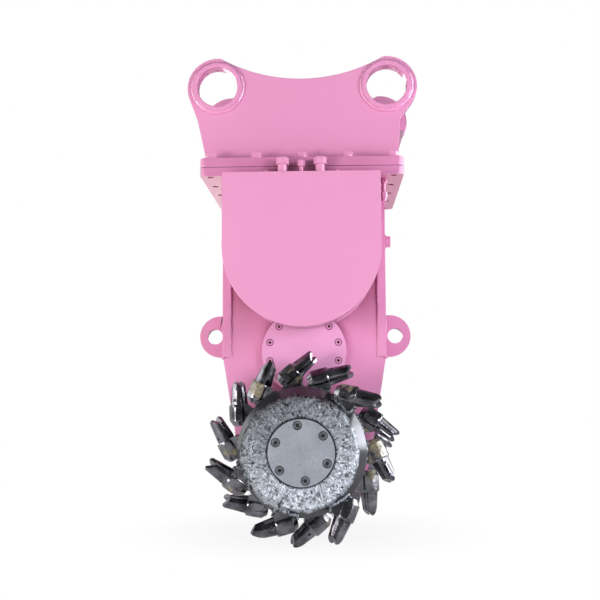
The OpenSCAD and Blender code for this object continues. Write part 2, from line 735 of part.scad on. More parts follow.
module shaft_lock_nuts() color(dark_steel) both_ends() difference() {
    ring_y(thread_r + seat_gap, nut_r, hub_out_y, hub_out_y + nut_t);
    for (a = [0, 90, 180, 270]) rotate([0, a, 0])
        translate([nut_r - nut_slot_d, hub_out_y - over, -nut_slot_w / 2])
            cube([nut_slot_d + over, nut_t + 2 * over, nut_slot_w]);
}

// Outside of a drum, without its bore
module drum_envelope() rotate([-90, 0, 0]) rotate_extrude($fn = 128)
    polygon([[0, drum_inner_y], [drum_r, drum_inner_y], [drum_r, drum_face_y - drum_bevel],
        [drum_face_r, drum_face_y], [0, drum_face_y]]);
module drum() color(dark_steel) difference() {
    drum_envelope();
    bar_y(drum_cavity_r, drum_inner_y - over, hub_in_y);
    bar_y(hub_r + seat_gap, hub_in_y - over, hub_out_y + over);
    bar_y(nut_recess_r, hub_out_y, drum_face_y + over);
    bar_y(end_cover_r + free_gap, drum_face_y - cover_pocket, drum_face_y + over);
    key_bar(drum_key_w, drum_key_h, hub_r, hub_in_y - over, hub_out_y + over, 0, seat_gap);
    round_y(end_screw_n, end_screw_pcr, 0, end_screw_angle)
        bar_y(end_screw_d / 2 + seat_gap, drum_face_y - cover_pocket - end_screw_grip - over, drum_face_y);
}
module drum_front() front() drum();
module drum_rear() drum();

module drum_end_cover() color(bare_steel) difference() {
    bar_y(end_cover_r, drum_face_y - cover_pocket, cover_top_y);
    round_y(end_screw_n, end_screw_pcr, 0, end_screw_angle) {
        bar_y(end_screw_d / 2 + bolt_clear, drum_face_y - cover_pocket - over, cover_top_y);
        bar_y(end_screw_d * screw_head_share + counterbore_gap,
            cover_top_y - end_screw_d * screw_head_share, cover_top_y + over);
    }
}
module drum_end_cover_front() front() drum_end_cover();
module drum_end_cover_rear() drum_end_cover();
module end_cover_screws() color(dark_steel) both_ends()
    round_y(end_screw_n, end_screw_pcr, 0, end_screw_angle)
        socket_screw(end_screw_d, drum_face_y - cover_pocket - end_screw_grip, cover_top_y);

// Brings the base of a tooth cap to its place: X runs along the tooth, Z outward
module at_tooth(i, shift)
    rotate([0, first_tooth_angle + 360 * (i + shift) / tooth_n, 0])
        translate([0, row_y[row_pattern[i]], tip_r - row_drop * row_drop_shares[row_pattern[i]]])
            rotate([0, -tooth_lean, 0]) rotate([0, 0, tooth_skew * row_skew_shares[row_pattern[i]]])
                translate([-tooth_len, 0, 0]) children();
module twisted(i) rotate([tooth_twist + twist_pattern[i], 0, 0]) children();
// Round bar along a tooth, from x0 to x1
module bar_x(r1, r2, x0, x1) translate([x0, 0, 0])
    rotate([0, 90, 0]) cylinder(r1 = r1, r2 = r2, h = x1 - x0);
module tooth_pin_bar(r, half_len) translate([tooth_pin_t, 0, 0]) bar_y(r, -half_len, half_len);

// Wedge with a notch that leaves two points, and a groove that runs back from the notch on each side
module tooth_cap() difference() {
    intersection() {
        bar_x(tooth_r, tooth_tip_r, 0, tooth_len);
        plate_xz(-2 * tooth_r, 2 * tooth_r)
            polygon([for (s = tooth_side_shares) [s[0] * tooth_len, s[1] * tooth_r]]);
        translate([0, 0, -2 * tooth_r]) linear_extrude(4 * tooth_r)
            polygon([for (s = tooth_plan_shares) [s[0] * tooth_len, s[1] * tooth_r]]);
    }
    for (side = [0, 180]) rotate([side, 0, 0])
        translate([tooth_len * groove_start_share, 0, tooth_r * (1 + groove_r_share)])
            rotate([0, 90 + groove_slope, 0])
                cylinder(r = tooth_r * groove_r_share, h = 2 * tooth_len, $fn = 4);
    bar_x(nose_r + nose_gap, nose_r + nose_gap, -over, nose_len + nose_gap);
    tooth_pin_bar(tooth_pin_r + seat_gap, 2 * tooth_r);
}
module cutter_teeth(shift) color(dark_steel) for (i = [0:tooth_n - 1])
    at_tooth(i, shift) twisted(i) tooth_cap();
module cutter_teeth_front() front() cutter_teeth(0);
module cutter_teeth_rear() cutter_teeth(0.5);

// Round socket with eight flats, a foot that follows the drum and a nose for the cap
module tooth_holder(i) difference() {
    union() {
        intersection() {
            rotate([0, -90, 0]) rotate_extrude()
                polygon([for (s = holder_profile_shares) [s[0] * holder_r, s[1] * holder_len]]);
            rotate([0, -90, 0]) translate([0, 0, -over]) rotate(180 / 8)
                cylinder(r = holder_r * holder_flat_share / cos(180 / 8), h = 2 * holder_len, $fn = 8);
        }
        plate_xz(-holder_w / 2, holder_w / 2)
            polygon([for (s = holder_foot_shares) [s[0] * holder_len, s[1] * holder_r]]);
        bar_x(nose_r, nose_r, -over, nose_len);
    }
    twisted(i) tooth_pin_bar(tooth_pin_r + seat_gap, 2 * tooth_r);
}
module tooth_holders(shift) color(dark_steel) difference() {
    for (i = [0:tooth_n - 1]) at_tooth(i, shift) tooth_holder(i);
    drum_envelope();
}
module tooth_holders_front() front() tooth_holders(0);
module tooth_holders_rear() tooth_holders(0.5);

module tooth_pin_row(shift) for (i = [0:tooth_n - 1]) at_tooth(i, shift)
    twisted(i) tooth_pin_bar(tooth_pin_r, tooth_r - over);
module tooth_pins() color(bare_steel) {
    tooth_pin_row(0.5);
    front() tooth_pin_row(0);
}

in_frame() ear_plate_front();
in_frame() ear_plate_rear();
in_frame() pin_bosses_front();
in_frame() pin_bosses_rear();
in_frame() cross_bars();
in_frame() bracket_base_plate();
in_frame() flange_bolts();
in_frame() housing_flange();
in_frame() side_plate_left();
in_frame() side_plate_right();
in_frame() lifting_lug_left();
in_frame() lifting_lug_right();
in_frame() motor_box_front();
in_frame() motor_box_rear();
in_frame() motor_cover_front();
in_frame() motor_cover_rear();
in_frame() port_caps();
in_frame() bleed_plug();
in_frame() manifold_bolts();
in_frame() breather_stack();
in_frame() level_plugs();
in_frame() gearcase_front();
in_frame() gearcase_rear();
in_frame() idler_cover_front();
in_frame() idler_cover_rear();
in_frame() idler_cover_screws();
in_frame() bearing_carrier_front();
in_frame() bearing_carrier_rear();
in_frame() carrier_screws();
in_frame() output_bearing_outer_races();
in_frame() output_bearing_inner_races();
in_frame() output_shaft_seals();
in_frame() hydraulic_motor_front();
in_frame() hydraulic_motor_rear();
in_frame() motor_screws();
in_frame() motor_shaft();
in_frame() motor_gear();
in_frame() motor_gear_key();
in_frame() motor_bearing_outer_races();
in_frame() motor_bearing_inner_races();
in_frame() idler_pin();
in_frame() idler_gear();
in_frame() idler_bearing_outer_race();
in_frame() idler_bearing_inner_race();
in_frame() output_shaft();
in_frame() output_gear();
in_frame() output_gear_key();
in_frame() drum_keys();
in_frame() drum_front();
in_frame() drum_rear();
in_frame() shaft_lock_nuts();
in_frame() drum_end_cover_front();
in_frame() drum_end_cover_rear();
in_frame() end_cover_screws();
in_frame() tooth_holders_front();
in_frame() tooth_holders_rear();
in_frame() cutter_teeth_front();
in_frame() cutter_teeth_rear();
in_frame() tooth_pins();
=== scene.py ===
"""Looks of a twin-drum cutter: enamel, welds, hardfacing, forged teeth and the studio round it."""

import json
import math

import bmesh
import bpy
from bpy.props import FloatProperty, FloatVectorProperty, IntProperty, PointerProperty, StringProperty
from mathutils import Euler, Matrix, Vector, noise


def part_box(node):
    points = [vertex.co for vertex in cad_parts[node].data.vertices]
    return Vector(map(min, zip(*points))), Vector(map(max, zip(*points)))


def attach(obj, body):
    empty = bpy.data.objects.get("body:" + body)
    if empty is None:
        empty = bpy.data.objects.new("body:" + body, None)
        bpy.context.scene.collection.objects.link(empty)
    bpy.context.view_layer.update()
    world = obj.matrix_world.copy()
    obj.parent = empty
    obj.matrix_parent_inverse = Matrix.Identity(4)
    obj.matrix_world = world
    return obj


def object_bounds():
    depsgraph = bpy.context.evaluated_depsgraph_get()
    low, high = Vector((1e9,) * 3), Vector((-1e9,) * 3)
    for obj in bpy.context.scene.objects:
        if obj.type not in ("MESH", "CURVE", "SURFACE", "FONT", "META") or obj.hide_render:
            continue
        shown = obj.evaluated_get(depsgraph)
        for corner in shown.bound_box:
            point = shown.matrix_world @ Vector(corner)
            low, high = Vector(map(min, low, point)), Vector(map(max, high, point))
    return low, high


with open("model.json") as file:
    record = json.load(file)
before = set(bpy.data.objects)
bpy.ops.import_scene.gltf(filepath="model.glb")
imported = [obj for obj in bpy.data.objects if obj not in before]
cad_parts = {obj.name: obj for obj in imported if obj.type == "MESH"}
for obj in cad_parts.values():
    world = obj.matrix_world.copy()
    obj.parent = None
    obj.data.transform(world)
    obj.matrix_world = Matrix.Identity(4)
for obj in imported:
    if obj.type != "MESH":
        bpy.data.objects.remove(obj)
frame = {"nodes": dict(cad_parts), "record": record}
CAD_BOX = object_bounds()

bl_info = {
    "name": "Drum cutter looks",
    "version": (1, 0, 0),
    "blender": (4, 5, 0),
    "location": "View3D > Sidebar > Cutter",
    "description": "Dresses a twin-drum cutter with its finishes, welds, hardfacing and teeth",
    "category": "Object",
}

MM = 0.001

# Places taken from the frame, in metres
COVER_LOW, COVER_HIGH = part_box("drum_end_cover_front")
DRUM_LOW, DRUM_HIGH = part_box("drum_front")
BASE_LOW, BASE_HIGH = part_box("bracket_base_plate")
FLANGE_LOW, FLANGE_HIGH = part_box("housing_flange")
EAR_LOW, EAR_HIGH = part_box("ear_plate_rear")
BOX_LOW, BOX_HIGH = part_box("motor_box_rear")
CASE_FACE_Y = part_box("gearcase_rear")[1][1]
SIDE_LOW, SIDE_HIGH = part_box("side_plate_right")
LUG_LOW, LUG_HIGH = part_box("lifting_lug_right")
BOSS_LOW, BOSS_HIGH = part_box("pin_bosses_rear")
AXIS_X = (COVER_LOW[0] + COVER_HIGH[0]) / 2
AXIS_Z = (COVER_LOW[2] + COVER_HIGH[2]) / 2
END_COVER_R = (COVER_HIGH[0] - COVER_LOW[0]) / 2
DRUM_R = (DRUM_HIGH[0] - DRUM_LOW[0]) / 2
FACE_Y = -DRUM_LOW[1]


class CutterSettings(bpy.types.PropertyGroup):
    """Sizes and colours that a user would change"""

    enamel: StringProperty(
        name="Enamel", description="Colour of the housing paint", default="#F2A1CE"
    )
    enamel_pale: StringProperty(
        name="Thin enamel", description="Colour of the housing paint where it is thin",
        default="#F4A8D3",
    )
    # Painted shade: this darker enamel stands for the shade on the rims of the two joined plates.
    enamel_shaded: StringProperty(
        name="Thick enamel", description="Colour of the housing paint where it is thick",
        default="#D27FAE",
    )
    bead: FloatProperty(
        name="Weld bead", description="Radius of a weld bead", default=5 * MM, unit="LENGTH"
    )
    ripple: FloatProperty(
        name="Weld ripple", description="Spacing of the ripples in a weld bead",
        default=7 * MM, unit="LENGTH",
    )
    face_radius: FloatProperty(
        name="Drum face", description="Radius of the flat end face of a drum",
        default=131 * MM, unit="LENGTH",
    )
    relief: FloatProperty(
        name="Hardfacing", description="Height of the hardfacing on a drum end",
        default=5 * MM, unit="LENGTH",
    )
    bevel_length: FloatProperty(
        name="Drum bevel", description="Length of the bevel round a drum end",
        default=34 * MM, unit="LENGTH",
    )
    lens: FloatProperty(
        name="Lens", description="Focal length of the camera in millimetres", default=56.66
    )
    camera: FloatVectorProperty(
        name="Camera", description="Place of the camera from the middle of the drum axis",
        default=(0.0729, -2.6245, 0.1526), subtype="TRANSLATION",
    )
    aim: FloatVectorProperty(
        name="Aim", description="Yaw to the left, pitch up and roll of the camera",
        default=(math.radians(1.891), math.radians(5.33), math.radians(-0.269)), subtype="EULER",
    )


def settings():
    return bpy.context.scene.cutter


def linear(code):
    """Linear colour of an sRGB hex code."""
    parts = [int(code[i : i + 2], 16) / 255 for i in (1, 3, 5)]
    return tuple(c / 12.92 if c <= 0.04045 else ((c + 0.055) / 1.055) ** 2.4 for c in parts) + (1.0,)


def connect(tree, node, inputs):
    """Gives a node its values and its links."""
    for key, value in inputs.items():
        if isinstance(value, bpy.types.NodeSocket):
            tree.links.new(value, node.inputs[key])
        else:
            node.inputs[key].default_value = value


def add(tree, kind, inputs=None, **facts):
    """Adds one node to a tree, with its settings, its values and its links."""
    made = tree.nodes.new(kind)
    for name, value in facts.items():
        setattr(made, name, value)
    connect(tree, made, inputs or {})
    return made


def blank_material(name):
    """A new material, with its tree, its object coordinates and its shader."""
    made = bpy.data.materials.new(name)
    made.use_nodes = True
    tree = made.node_tree
    tree.nodes.clear()
    where = add(tree, "ShaderNodeTexCoord").outputs["Object"]
    shader = add(tree, "ShaderNodeBsdfPrincipled")
    add(tree, "ShaderNodeOutputMaterial", {"Surface": shader.outputs["BSDF"]})
    return made, tree, where, shader


def noise_at(tree, where, size, detail=2.0, rough=0.5):
    """Noise whose lumps are about one size across, in metres."""
    values = {"Vector": where, "Scale": 0.5 / size, "Detail": detail, "Roughness": rough}
    return add(tree, "ShaderNodeTexNoise", values).outputs["Fac"]


def ramp(tree, value, low, high, at=(0.35, 0.65)):
    """Colour that goes from low to high as value passes from the first of at to the second."""
    made = add(tree, "ShaderNodeValToRGB", {"Fac": value})
    stops = made.color_ramp.elements
    stops[0].position, stops[1].position = at
    stops[0].color, stops[1].color = linear(low), linear(high)
    return made.outputs["Color"]


def span(tree, value, low, high, source=(0.3, 0.7)):
    """Value mapped from a source range to low and high."""
    values = {"Value": value, "From Min": source[0], "From Max": source[1], "To Min": low, "To Max": high}
    return add(tree, "ShaderNodeMapRange", values).outputs["Result"]


def maths(tree, operation, *values):
    """Result of a math node."""
    return add(tree, "ShaderNodeMath", dict(enumerate(values)), operation=operation).outputs["Value"]


def vectors(tree, operation, *values, **named):
    """Result of a vector math node, which is a number for a dot product or a length."""
    made = add(tree, "ShaderNodeVectorMath", dict(enumerate(values)) | named, operation=operation)
    return made.outputs["Value" if operation in ("DOT_PRODUCT", "LENGTH") else "Vector"]


def part_of(tree, vector, axis="Z"):
    """One coordinate of a vector, its height unless another is asked for."""
    return add(tree, "ShaderNodeSeparateXYZ", {"Vector": vector}).outputs[axis]


def blend_colour(tree, share, low, high, mode="MIX"):
    """Mix of two colours by a share."""
    made = add(tree, "ShaderNodeMix", {0: share, 6: low, 7: high}, data_type="RGBA", blend_type=mode)
    return made.outputs[2]


def blend_value(tree, share, low, high):
    """Mix of two values by a share."""
    return add(tree, "ShaderNodeMix", {0: share, 2: low, 3: high}, data_type="FLOAT").outputs[0]


def bump(tree, height, depth, strength=1.0, under=None):
    """Bump normal of a height of 0 to 1, which stands depth metres high, on top of another bump."""
    values = {"Height": height, "Distance": depth, "Strength": strength}
    if under is not None:
        values["Normal"] = under
    return add(tree, "ShaderNodeBump", values).outputs["Normal"]


def open_air(tree, reach, samples):
    """Share of open air round a point, which falls in corners up to reach metres away."""
    return add(tree, "ShaderNodeAmbientOcclusion", {"Distance": reach}, samples=samples).outputs["AO"]


def painted_corner_shade(tree, skin, tint, reach, fades):
    """Painted shade: tints a skin towards a deeper colour in the corners, by how closed in a point is,
    where less light reaches.
    """
    shade = ramp(tree, open_air(tree, reach, 8), tint, "#FFFFFF", fades)
    return blend_colour(tree, 1.0, skin, shade, "MULTIPLY")


def enamel_coat(name, base, pale):
    """Sprayed enamel, a little paler where the film is thin and darker in its corners as painted shade,
    with its parts for later changes.
    """
    made, tree, where, shader = blank_material(name)
    film = noise_at(tree, where, 0.14, 2.0)
    peel = noise_at(tree, where, 3.0 * MM, 1.0)
    # Painted shade: every enamel darkens towards a deep maroon in its corners.
    coat = painted_corner_shade(tree, ramp(tree, film, base, pale, (0.1, 0.9)), "#8A2C60", 0.12, (0.12, 0.62))
    connect(tree, shader, {
        "Base Color": coat,
        "Roughness": span(tree, film, 0.27, 0.33, (0.1, 0.9)),
        "Normal": bump(tree, peel, 0.12 * MM, 0.4),
        "IOR": 1.5,
        "Coat Weight": 0.35,
        "Coat Roughness": 0.1,
    })
    return made, tree, where, shader, coat


def gloss_enamel():
    """Sprayed two-pack enamel on the housing: an even gloss with orange peel."""
    return enamel_coat("sprayed_enamel", settings().enamel, settings().enamel_pale)[0]


def lit_idler_enamel():
    """A paler copy of the same enamel on the turned idler covers: painted light, for the light that reaches
    them in their recess.
    """
    return enamel_coat("painted_light_idler_enamel", "#F6B0DD", "#F8B9E3")[0]


def shaded_plate_enamel():
    """The same enamel on the two joined plates: darker on their rims as painted shade, paler on the faces
    that look down as painted light.
    """
    made, tree, _, shader, coat = enamel_coat(
        "shaded_plate_sprayed_enamel", settings().enamel_shaded, settings().enamel
    )
    normal = add(tree, "ShaderNodeNewGeometry").outputs["Normal"]
    # Painted light: the faces that look down turn paler, as if lit from the floor below.
    under = span(tree, part_of(tree, normal), 1.0, 0.0, (-0.9, -0.6))
    connect(tree, shader, {"Base Color": blend_colour(tree, under, coat, linear("#EE9FC0"))})
    return made


def corner_enamel():
    """The same enamel on the gearcase, with painted shade high up in the corners beside the motor box."""
    made, tree, where, shader, coat = enamel_coat(
        "corner_shade_sprayed_enamel", settings().enamel, settings().enamel_pale
    )
    # Painted shade: the mask picks the gearcase's upper corners beside the motor box, where it shades the
    # case.
    off = maths(tree, "SUBTRACT", part_of(tree, where, "X"), AXIS_X)
    aside = span(tree, maths(tree, "ABSOLUTE", off), 0.0, 1.0, (0.06, 0.16))
    low = BOX_LOW[2]
    high = span(tree, part_of(tree, where), 0.0, 1.0, (low - 0.06, low + 0.08))
    painted_shade = painted_corner_shade(tree, coat, "#8C0A38", 0.16, (0.27, 0.97))
    share = maths(tree, "MULTIPLY", aside, high)
    connect(tree, shader, {"Base Color": blend_colour(tree, share, coat, painted_shade)})
    return made


def puddled_enamel():
    """Enamel that has run together over weld beads: a wet gloss that catches the lamps."""
    made, tree, _, shader, _ = enamel_coat("puddled_enamel", settings().enamel, settings().enamel_pale)
    connect(tree, shader, {"Coat Weight": 1.0, "Coat Roughness": 0.04})
    return made


def worn_edges(tree, radius, low, high):
    """Share of bright metal, which is high only along the raised edges."""
    soft = add(tree, "ShaderNodeBevel", {"Radius": radius}, samples=6).outputs["Normal"]
    true = add(tree, "ShaderNodeNewGeometry").outputs["Normal"]
    turn = span(tree, vectors(tree, "DOT_PRODUCT", soft, true), 1.0, 0.0, (low, high))
    raised = span(tree, open_air(tree, 4 * radius, 6), 0.0, 1.0, (0.5, 0.8))
    return maths(tree, "MULTIPLY", turn, raised)


def lacquered(name, dark, light, worn_colour, residue=None):
    """Black-lacquered forging, hammered and grained, bright along its worn edges."""
    made, tree, where, shader = blank_material(name)
    patch = noise_at(tree, where, 0.018, 3.0)
    dents = noise_at(tree, where, 9.0 * MM, 2.0)
    grain = noise_at(tree, where, 2.4 * MM, 3.0, 0.6)
    skin = ramp(tree, patch, dark, light, (0.36, 0.66))
    gloss = span(tree, patch, 0.12, 0.26)
    metallic = 1.0
    if residue:
        crust = ramp(tree, grain, residue[0], residue[1], (0.3, 0.7))
        left = span(tree, noise_at(tree, where, 0.03, 3.0, 0.6), 0.0, 1.0, (0.58, 0.64))
        skin = blend_colour(tree, left, skin, crust)
        gloss = blend_value(tree, left, gloss, 0.6)
        metallic = span(tree, left, 1.0, 0.15, (0.0, 1.0))
    rubbed = span(tree, noise_at(tree, where, 8.0 * MM, 2.0), 0.0, 1.0, (0.45, 0.6))
    worn = maths(tree, "MULTIPLY", worn_edges(tree, 1.6 * MM, 0.9, 0.99), rubbed)
    fine = bump(tree, grain, 0.2 * MM, 0.5)
    connect(tree, shader, {
        "Base Color": blend_colour(tree, worn, skin, linear(worn_colour)),
        "Metallic": metallic,
        "Roughness": gloss,
        "Normal": bump(tree, dents, 1.2 * MM, 0.6, fine),
        "Coat Weight": 0.7,
        "Coat Roughness": 0.05,
    })
    return made


def forged_black():
    """Tooth caps: gloss black lacquer with paler rubbed patches, silver along the worn edges."""
    return lacquered("black_lacquered_forging", "#36363C", "#84848C", "#D6D9DE")


def holder_steel():
    """Tool holders: black lacquer with olive-cream weld residue on the flats."""
    return lacquered("black_lacquered_holder", "#48494E", "#909197", "#D2D5D8", ("#5E5A47", "#B3AD90"))


def drum_skin():
    """Rolled drum shell: smooth blue-black mill scale with faint rolling marks."""
    made, tree, where, shader = blank_material("mill_scale")
    patch = noise_at(tree, where, 0.03, 3.0)
    grain = noise_at(tree, where, 1.2 * MM, 3.0)
    connect(tree, shader, {
        "Base Color": ramp(tree, patch, "#2A2B2F", "#4E5056"),
        "Roughness": span(tree, patch, 0.18, 0.3),
        "Normal": bump(tree, grain, 0.3 * MM, 0.5),
        "Metallic": 0.75,
        "Coat Weight": 0.5,
        "Coat Roughness": 0.12,
    })
    return made


def from_axis(tree, where):
    """Coordinates measured from the drum's axis."""
    return vectors(tree, "SUBTRACT", where, (AXIS_X, 0, AXIS_Z))


def strokes(tree, where, width, run, detail):
    """Noise drawn out along the drum's radii: lumps so wide across a radius and so long along it."""
    flat = vectors(tree, "MULTIPLY", from_axis(tree, where), (1, 0, 1))
    bend = noise_at(tree, where, 0.016, 2.0)
    reach = maths(tree, "MULTIPLY_ADD", bend, 0.03, vectors(tree, "LENGTH", flat))
    along = maths(tree, "DIVIDE", reach, run)
    around = vectors(tree, "SCALE", vectors(tree, "NORMALIZE", flat), Scale=0.1 / width)
    lift = add(tree, "ShaderNodeCombineXYZ", {"Y": along}).outputs["Vector"]
    spot = vectors(tree, "ADD", around, lift)
    values = {"Vector": spot, "Scale": 0.6, "Detail": detail, "Roughness": 0.6, "Distortion": 1.2}
    return add(tree, "ShaderNodeTexNoise", values).outputs["Fac"]


def hardfacing_metal():
    """Chromium carbide hardfacing: short bright runs along the radii, with dark hollows between them as
    painted shade, and its upper part darker, also painted shade.
    """
    made, tree, where, shader = blank_material("carbide_hardfacing")
    relief = add(tree, "ShaderNodeAttribute", attribute_name="relief").outputs["Fac"]
    runs = strokes(tree, where, 4.6 * MM, 7.0 * MM, 2.0)
    grain = noise_at(tree, where, 1.6 * MM, 3.0, 0.6)
    # Painted shade: the colour follows the height of the runs, darker in the hollows.
    mixed = maths(tree, "MULTIPLY_ADD", relief, 0.3, runs)
    hardfacing_tone = ramp(tree, mixed, "#494F56", "#C8D1D9", (0.42, 0.7))
    # Painted shade: this darker colour stands for the shade on the upper part of the face.
    worn = ramp(tree, mixed, "#0B0C0E", "#767B83", (0.44, 0.74))
    upward = vectors(tree, "DOT_PRODUCT", from_axis(tree, where), (-0.3, 0, 0.95))
    painted_top_shade = span(tree, upward, 0.0, 1.0, (-0.04, 0.12))
    fine = bump(tree, grain, 0.6 * MM, 0.6)
    connect(tree, shader, {
        "Base Color": blend_colour(tree, painted_top_shade, hardfacing_tone, worn),
        "Roughness": span(tree, grain, 0.28, 0.5),
        "Normal": bump(tree, runs, 6.0 * MM, 0.9, fine),
        "Metallic": 0.6,
    })
    return made


def milled_plate():
    """Milled steel plate with a flat grey wash: faint grain and small specks, no mirror."""
    made, tree, where, shader = blank_material("milled_steel_plate")
    patch = noise_at(tree, where, 0.03, 3.0)
    speck = noise_at(tree, where, 1.3 * MM, 3.0, 0.7)
    wash = ramp(tree, patch, "#949EA7", "#AFB8C0")
    specks = ramp(tree, speck, "#858C95", "#C6CBD2", (0.3, 0.7))
    spots = span(tree, noise_at(tree, where, 2.6 * MM, 2.0), 0.0, 0.7, (0.66, 0.74))
    plate = blend_colour(tree, 0.45, wash, specks)
    connect(tree, shader, {
        "Base Color": blend_colour(tree, spots, plate, linear("#5F5A58")),
        "Roughness": span(tree, speck, 0.42, 0.58),
        "Normal": bump(tree, speck, 0.15 * MM, 0.5),
        "Metallic": 0.45,
    })
    return made


def mottled(name, size, detail, colours, roughness, metallic=0.0):
    """Plain finish whose colour varies in patches of one size, and whose roughness may follow them."""
    made, tree, where, shader = blank_material(name)
    patch = noise_at(tree, where, size, detail)
    rough = span(tree, patch, *roughness) if isinstance(roughness, tuple) else roughness
    connect(tree, shader, {
        "Base Color": ramp(tree, patch, *colours), "Roughness": rough, "Metallic": metallic,
    })
    return made, tree, patch, shader


def steel_screws():
    """Socket screws of the drum's cover: grey steel under the same wash, darker than the plate."""
    return mottled("washed_steel_screws", 4.0 * MM, 3.0, ("#5F656C", "#8D939A"), (0.3, 0.45), 0.6)[0]


def black_oxide():
    """Black oxide on screws: dull black with a little oil."""
    return mottled("black_oxide", 4.0 * MM, 3.0, ("#303236", "#4C4F54"), (0.35, 0.5), 0.7)[0]


def counterbore_shadow():
    """Painted shade: near-black at the bottom of counterbores and sockets, and in the joint between the two
    plates, where shade falls.
    """
    return mottled("painted_counterbore_shade", 2.0 * MM, 2.0, ("#0D0D0E", "#1D1A1C"), 0.6)[0]


def seal_rubber():
    """Moulded nitrile seal: black and matt."""
    return mottled("moulded_nitrile", 1.0 * MM, 2.0, ("#101011", "#1C1C1D"), 0.65)[0]


def motor_iron():
    """Grey iron casting of the motors, with a fine sand grain."""
    made, tree, grain, shader = mottled(
        "sand_cast_iron", 1.5 * MM, 4.0, ("#2E2F32", "#45474B"), 0.6, 0.4
    )
    connect(tree, shader, {"Normal": bump(tree, grain, 0.5 * MM)})
    return made


def ground_steel():
    """Turned and ground steel: bright, with fine turning lines."""
    made, tree, where, shader = blank_material("ground_steel")
    lines = add(
        tree, "ShaderNodeTexWave", {"Vector": where, "Scale": 400.0, "Distortion": 0.6},
        wave_type="BANDS", bands_direction="Y",
    ).outputs["Fac"]
    connect(tree, shader, {
        "Base Color": ramp(tree, lines, "#B4B7BC", "#C6C8CC", (0.2, 0.8)),
        "Normal": bump(tree, lines, 0.05 * MM, 0.4),
        "Roughness": 0.25,
        "Metallic": 1.0,
    })
    return made


FINISH_OF_SLOT = {
    "housing_paint": gloss_enamel,
    "machined_steel": ground_steel,
    "drum_casting": drum_skin,
    "tooth_steel": forged_black,
    "end_cover_steel": milled_plate,
    "screw_steel": black_oxide,
    "motor_iron": motor_iron,
    "seal_rubber": seal_rubber,
}
EXTRA_FINISHES = {
    "holder": holder_steel,
    "hardfacing": hardfacing_metal,
    "shaded_plate_enamel": shaded_plate_enamel,
    "counterbore": counterbore_shadow,
    "puddled": puddled_enamel,
    "washed_screws": steel_screws,
    "corner_shade_enamel": corner_enamel,
    "lit_idler_enamel": lit_idler_enamel,
}
# Both ends of the cutter share their finishes and edges, so these go by a piece's name without its end
FINISH_OF_FAMILY = {
    "tooth_holders": "holder",
    "idler_cover": "lit_idler_enamel",
    "gearcase": "corner_shade_enamel",
    "bracket_base_plate": "shaded_plate_enamel",
    "housing_flange": "shaded_plate_enamel",
    "end_cover_screws": "washed_screws",
}
EDGE_OF_FAMILY = {
    "bracket_base_plate": 2.4 * MM,
    "housing_flange": 2.4 * MM,
    "ear_plate": 3.0 * MM,
    "pin_bosses": 3.0 * MM,
    "flange_bolts": 0.9 * MM,
    "manifold_bolts": 0.7 * MM,
    "bleed_plug": 0.7 * MM,
    "port_caps": 0.9 * MM,
    "breather_stack": 0.7 * MM,
    "level_plugs": 0.9 * MM,
    "idler_cover_screws": 0.4 * MM,
    "end_cover_screws": 0.4 * MM,
    "carrier_screws": 0.4 * MM,
    "drum": 2.0 * MM,
    "tooth_holders": 1.8 * MM,
    "cutter_teeth": 0.9 * MM,
}
# The holes near the rims of these two would clamp their edges to nothing
WIDE_EDGES = ("bracket_base_plate", "housing_flange")
EDGE_OF_PAINTED, EDGE_OF_OTHERS = 1.6 * MM, 0.8 * MM
WELD_TOLERANCE = 0.02 * MM
FLAT_ANGLE, EDGE_ANGLE, SHARP_ANGLE = (math.radians(a) for a in (0.6, 24, 28))
materials = {}


def finish(name):
    """The material of a slot or of an extra finish, made once."""
    if name not in materials:
        materials[name] = (FINISH_OF_SLOT | EXTRA_FINISHES)[name]()
    return materials[name]


def mesh_object(name, mesh):
    """Links a mesh to the scene as an object at the origin."""
    made = bpy.data.objects.new(name, mesh)
    bpy.context.collection.objects.link(made)
    return made


def from_bmesh(name, bm):
    """Turns a bmesh into a linked object with its faces outward."""
    bmesh.ops.recalc_face_normals(bm, faces=bm.faces)
    mesh = bpy.data.meshes.new(name)
    bm.to_mesh(mesh)
    bm.free()
    return mesh_object(name, mesh)


def evaluated(obj, name):
    """The object's final mesh as a plain object, in place of the one with modifiers."""
    graph = bpy.context.evaluated_depsgraph_get()
    mesh = bpy.data.meshes.new_from_object(obj.evaluated_get(graph))
    mesh.name = name
    bpy.data.objects.remove(obj)
    return mesh_object(name, mesh)


def set_input(modifier, tree, name, value):
    """Sets a modifier's input by its socket's identifier."""
    for item in tree.interface.items_tree:
        if item.item_type == "SOCKET" and item.in_out == "INPUT" and item.name == name:
            modifier[item.identifier] = value


def group_tree(name, inputs):
    """A geometry tree with named inputs, and its input and output nodes."""
    tree = bpy.data.node_groups.new(name, "GeometryNodeTree")
    tree.interface.new_socket("Geometry", in_out="INPUT", socket_type="NodeSocketGeometry")
    for label, kind in inputs.items():
        tree.interface.new_socket(label, in_out="INPUT", socket_type=kind)
    tree.interface.new_socket("Geometry", in_out="OUTPUT", socket_type="NodeSocketGeometry")
    return tree, tree.nodes.new("NodeGroupInput"), tree.nodes.new("NodeGroupOutput")


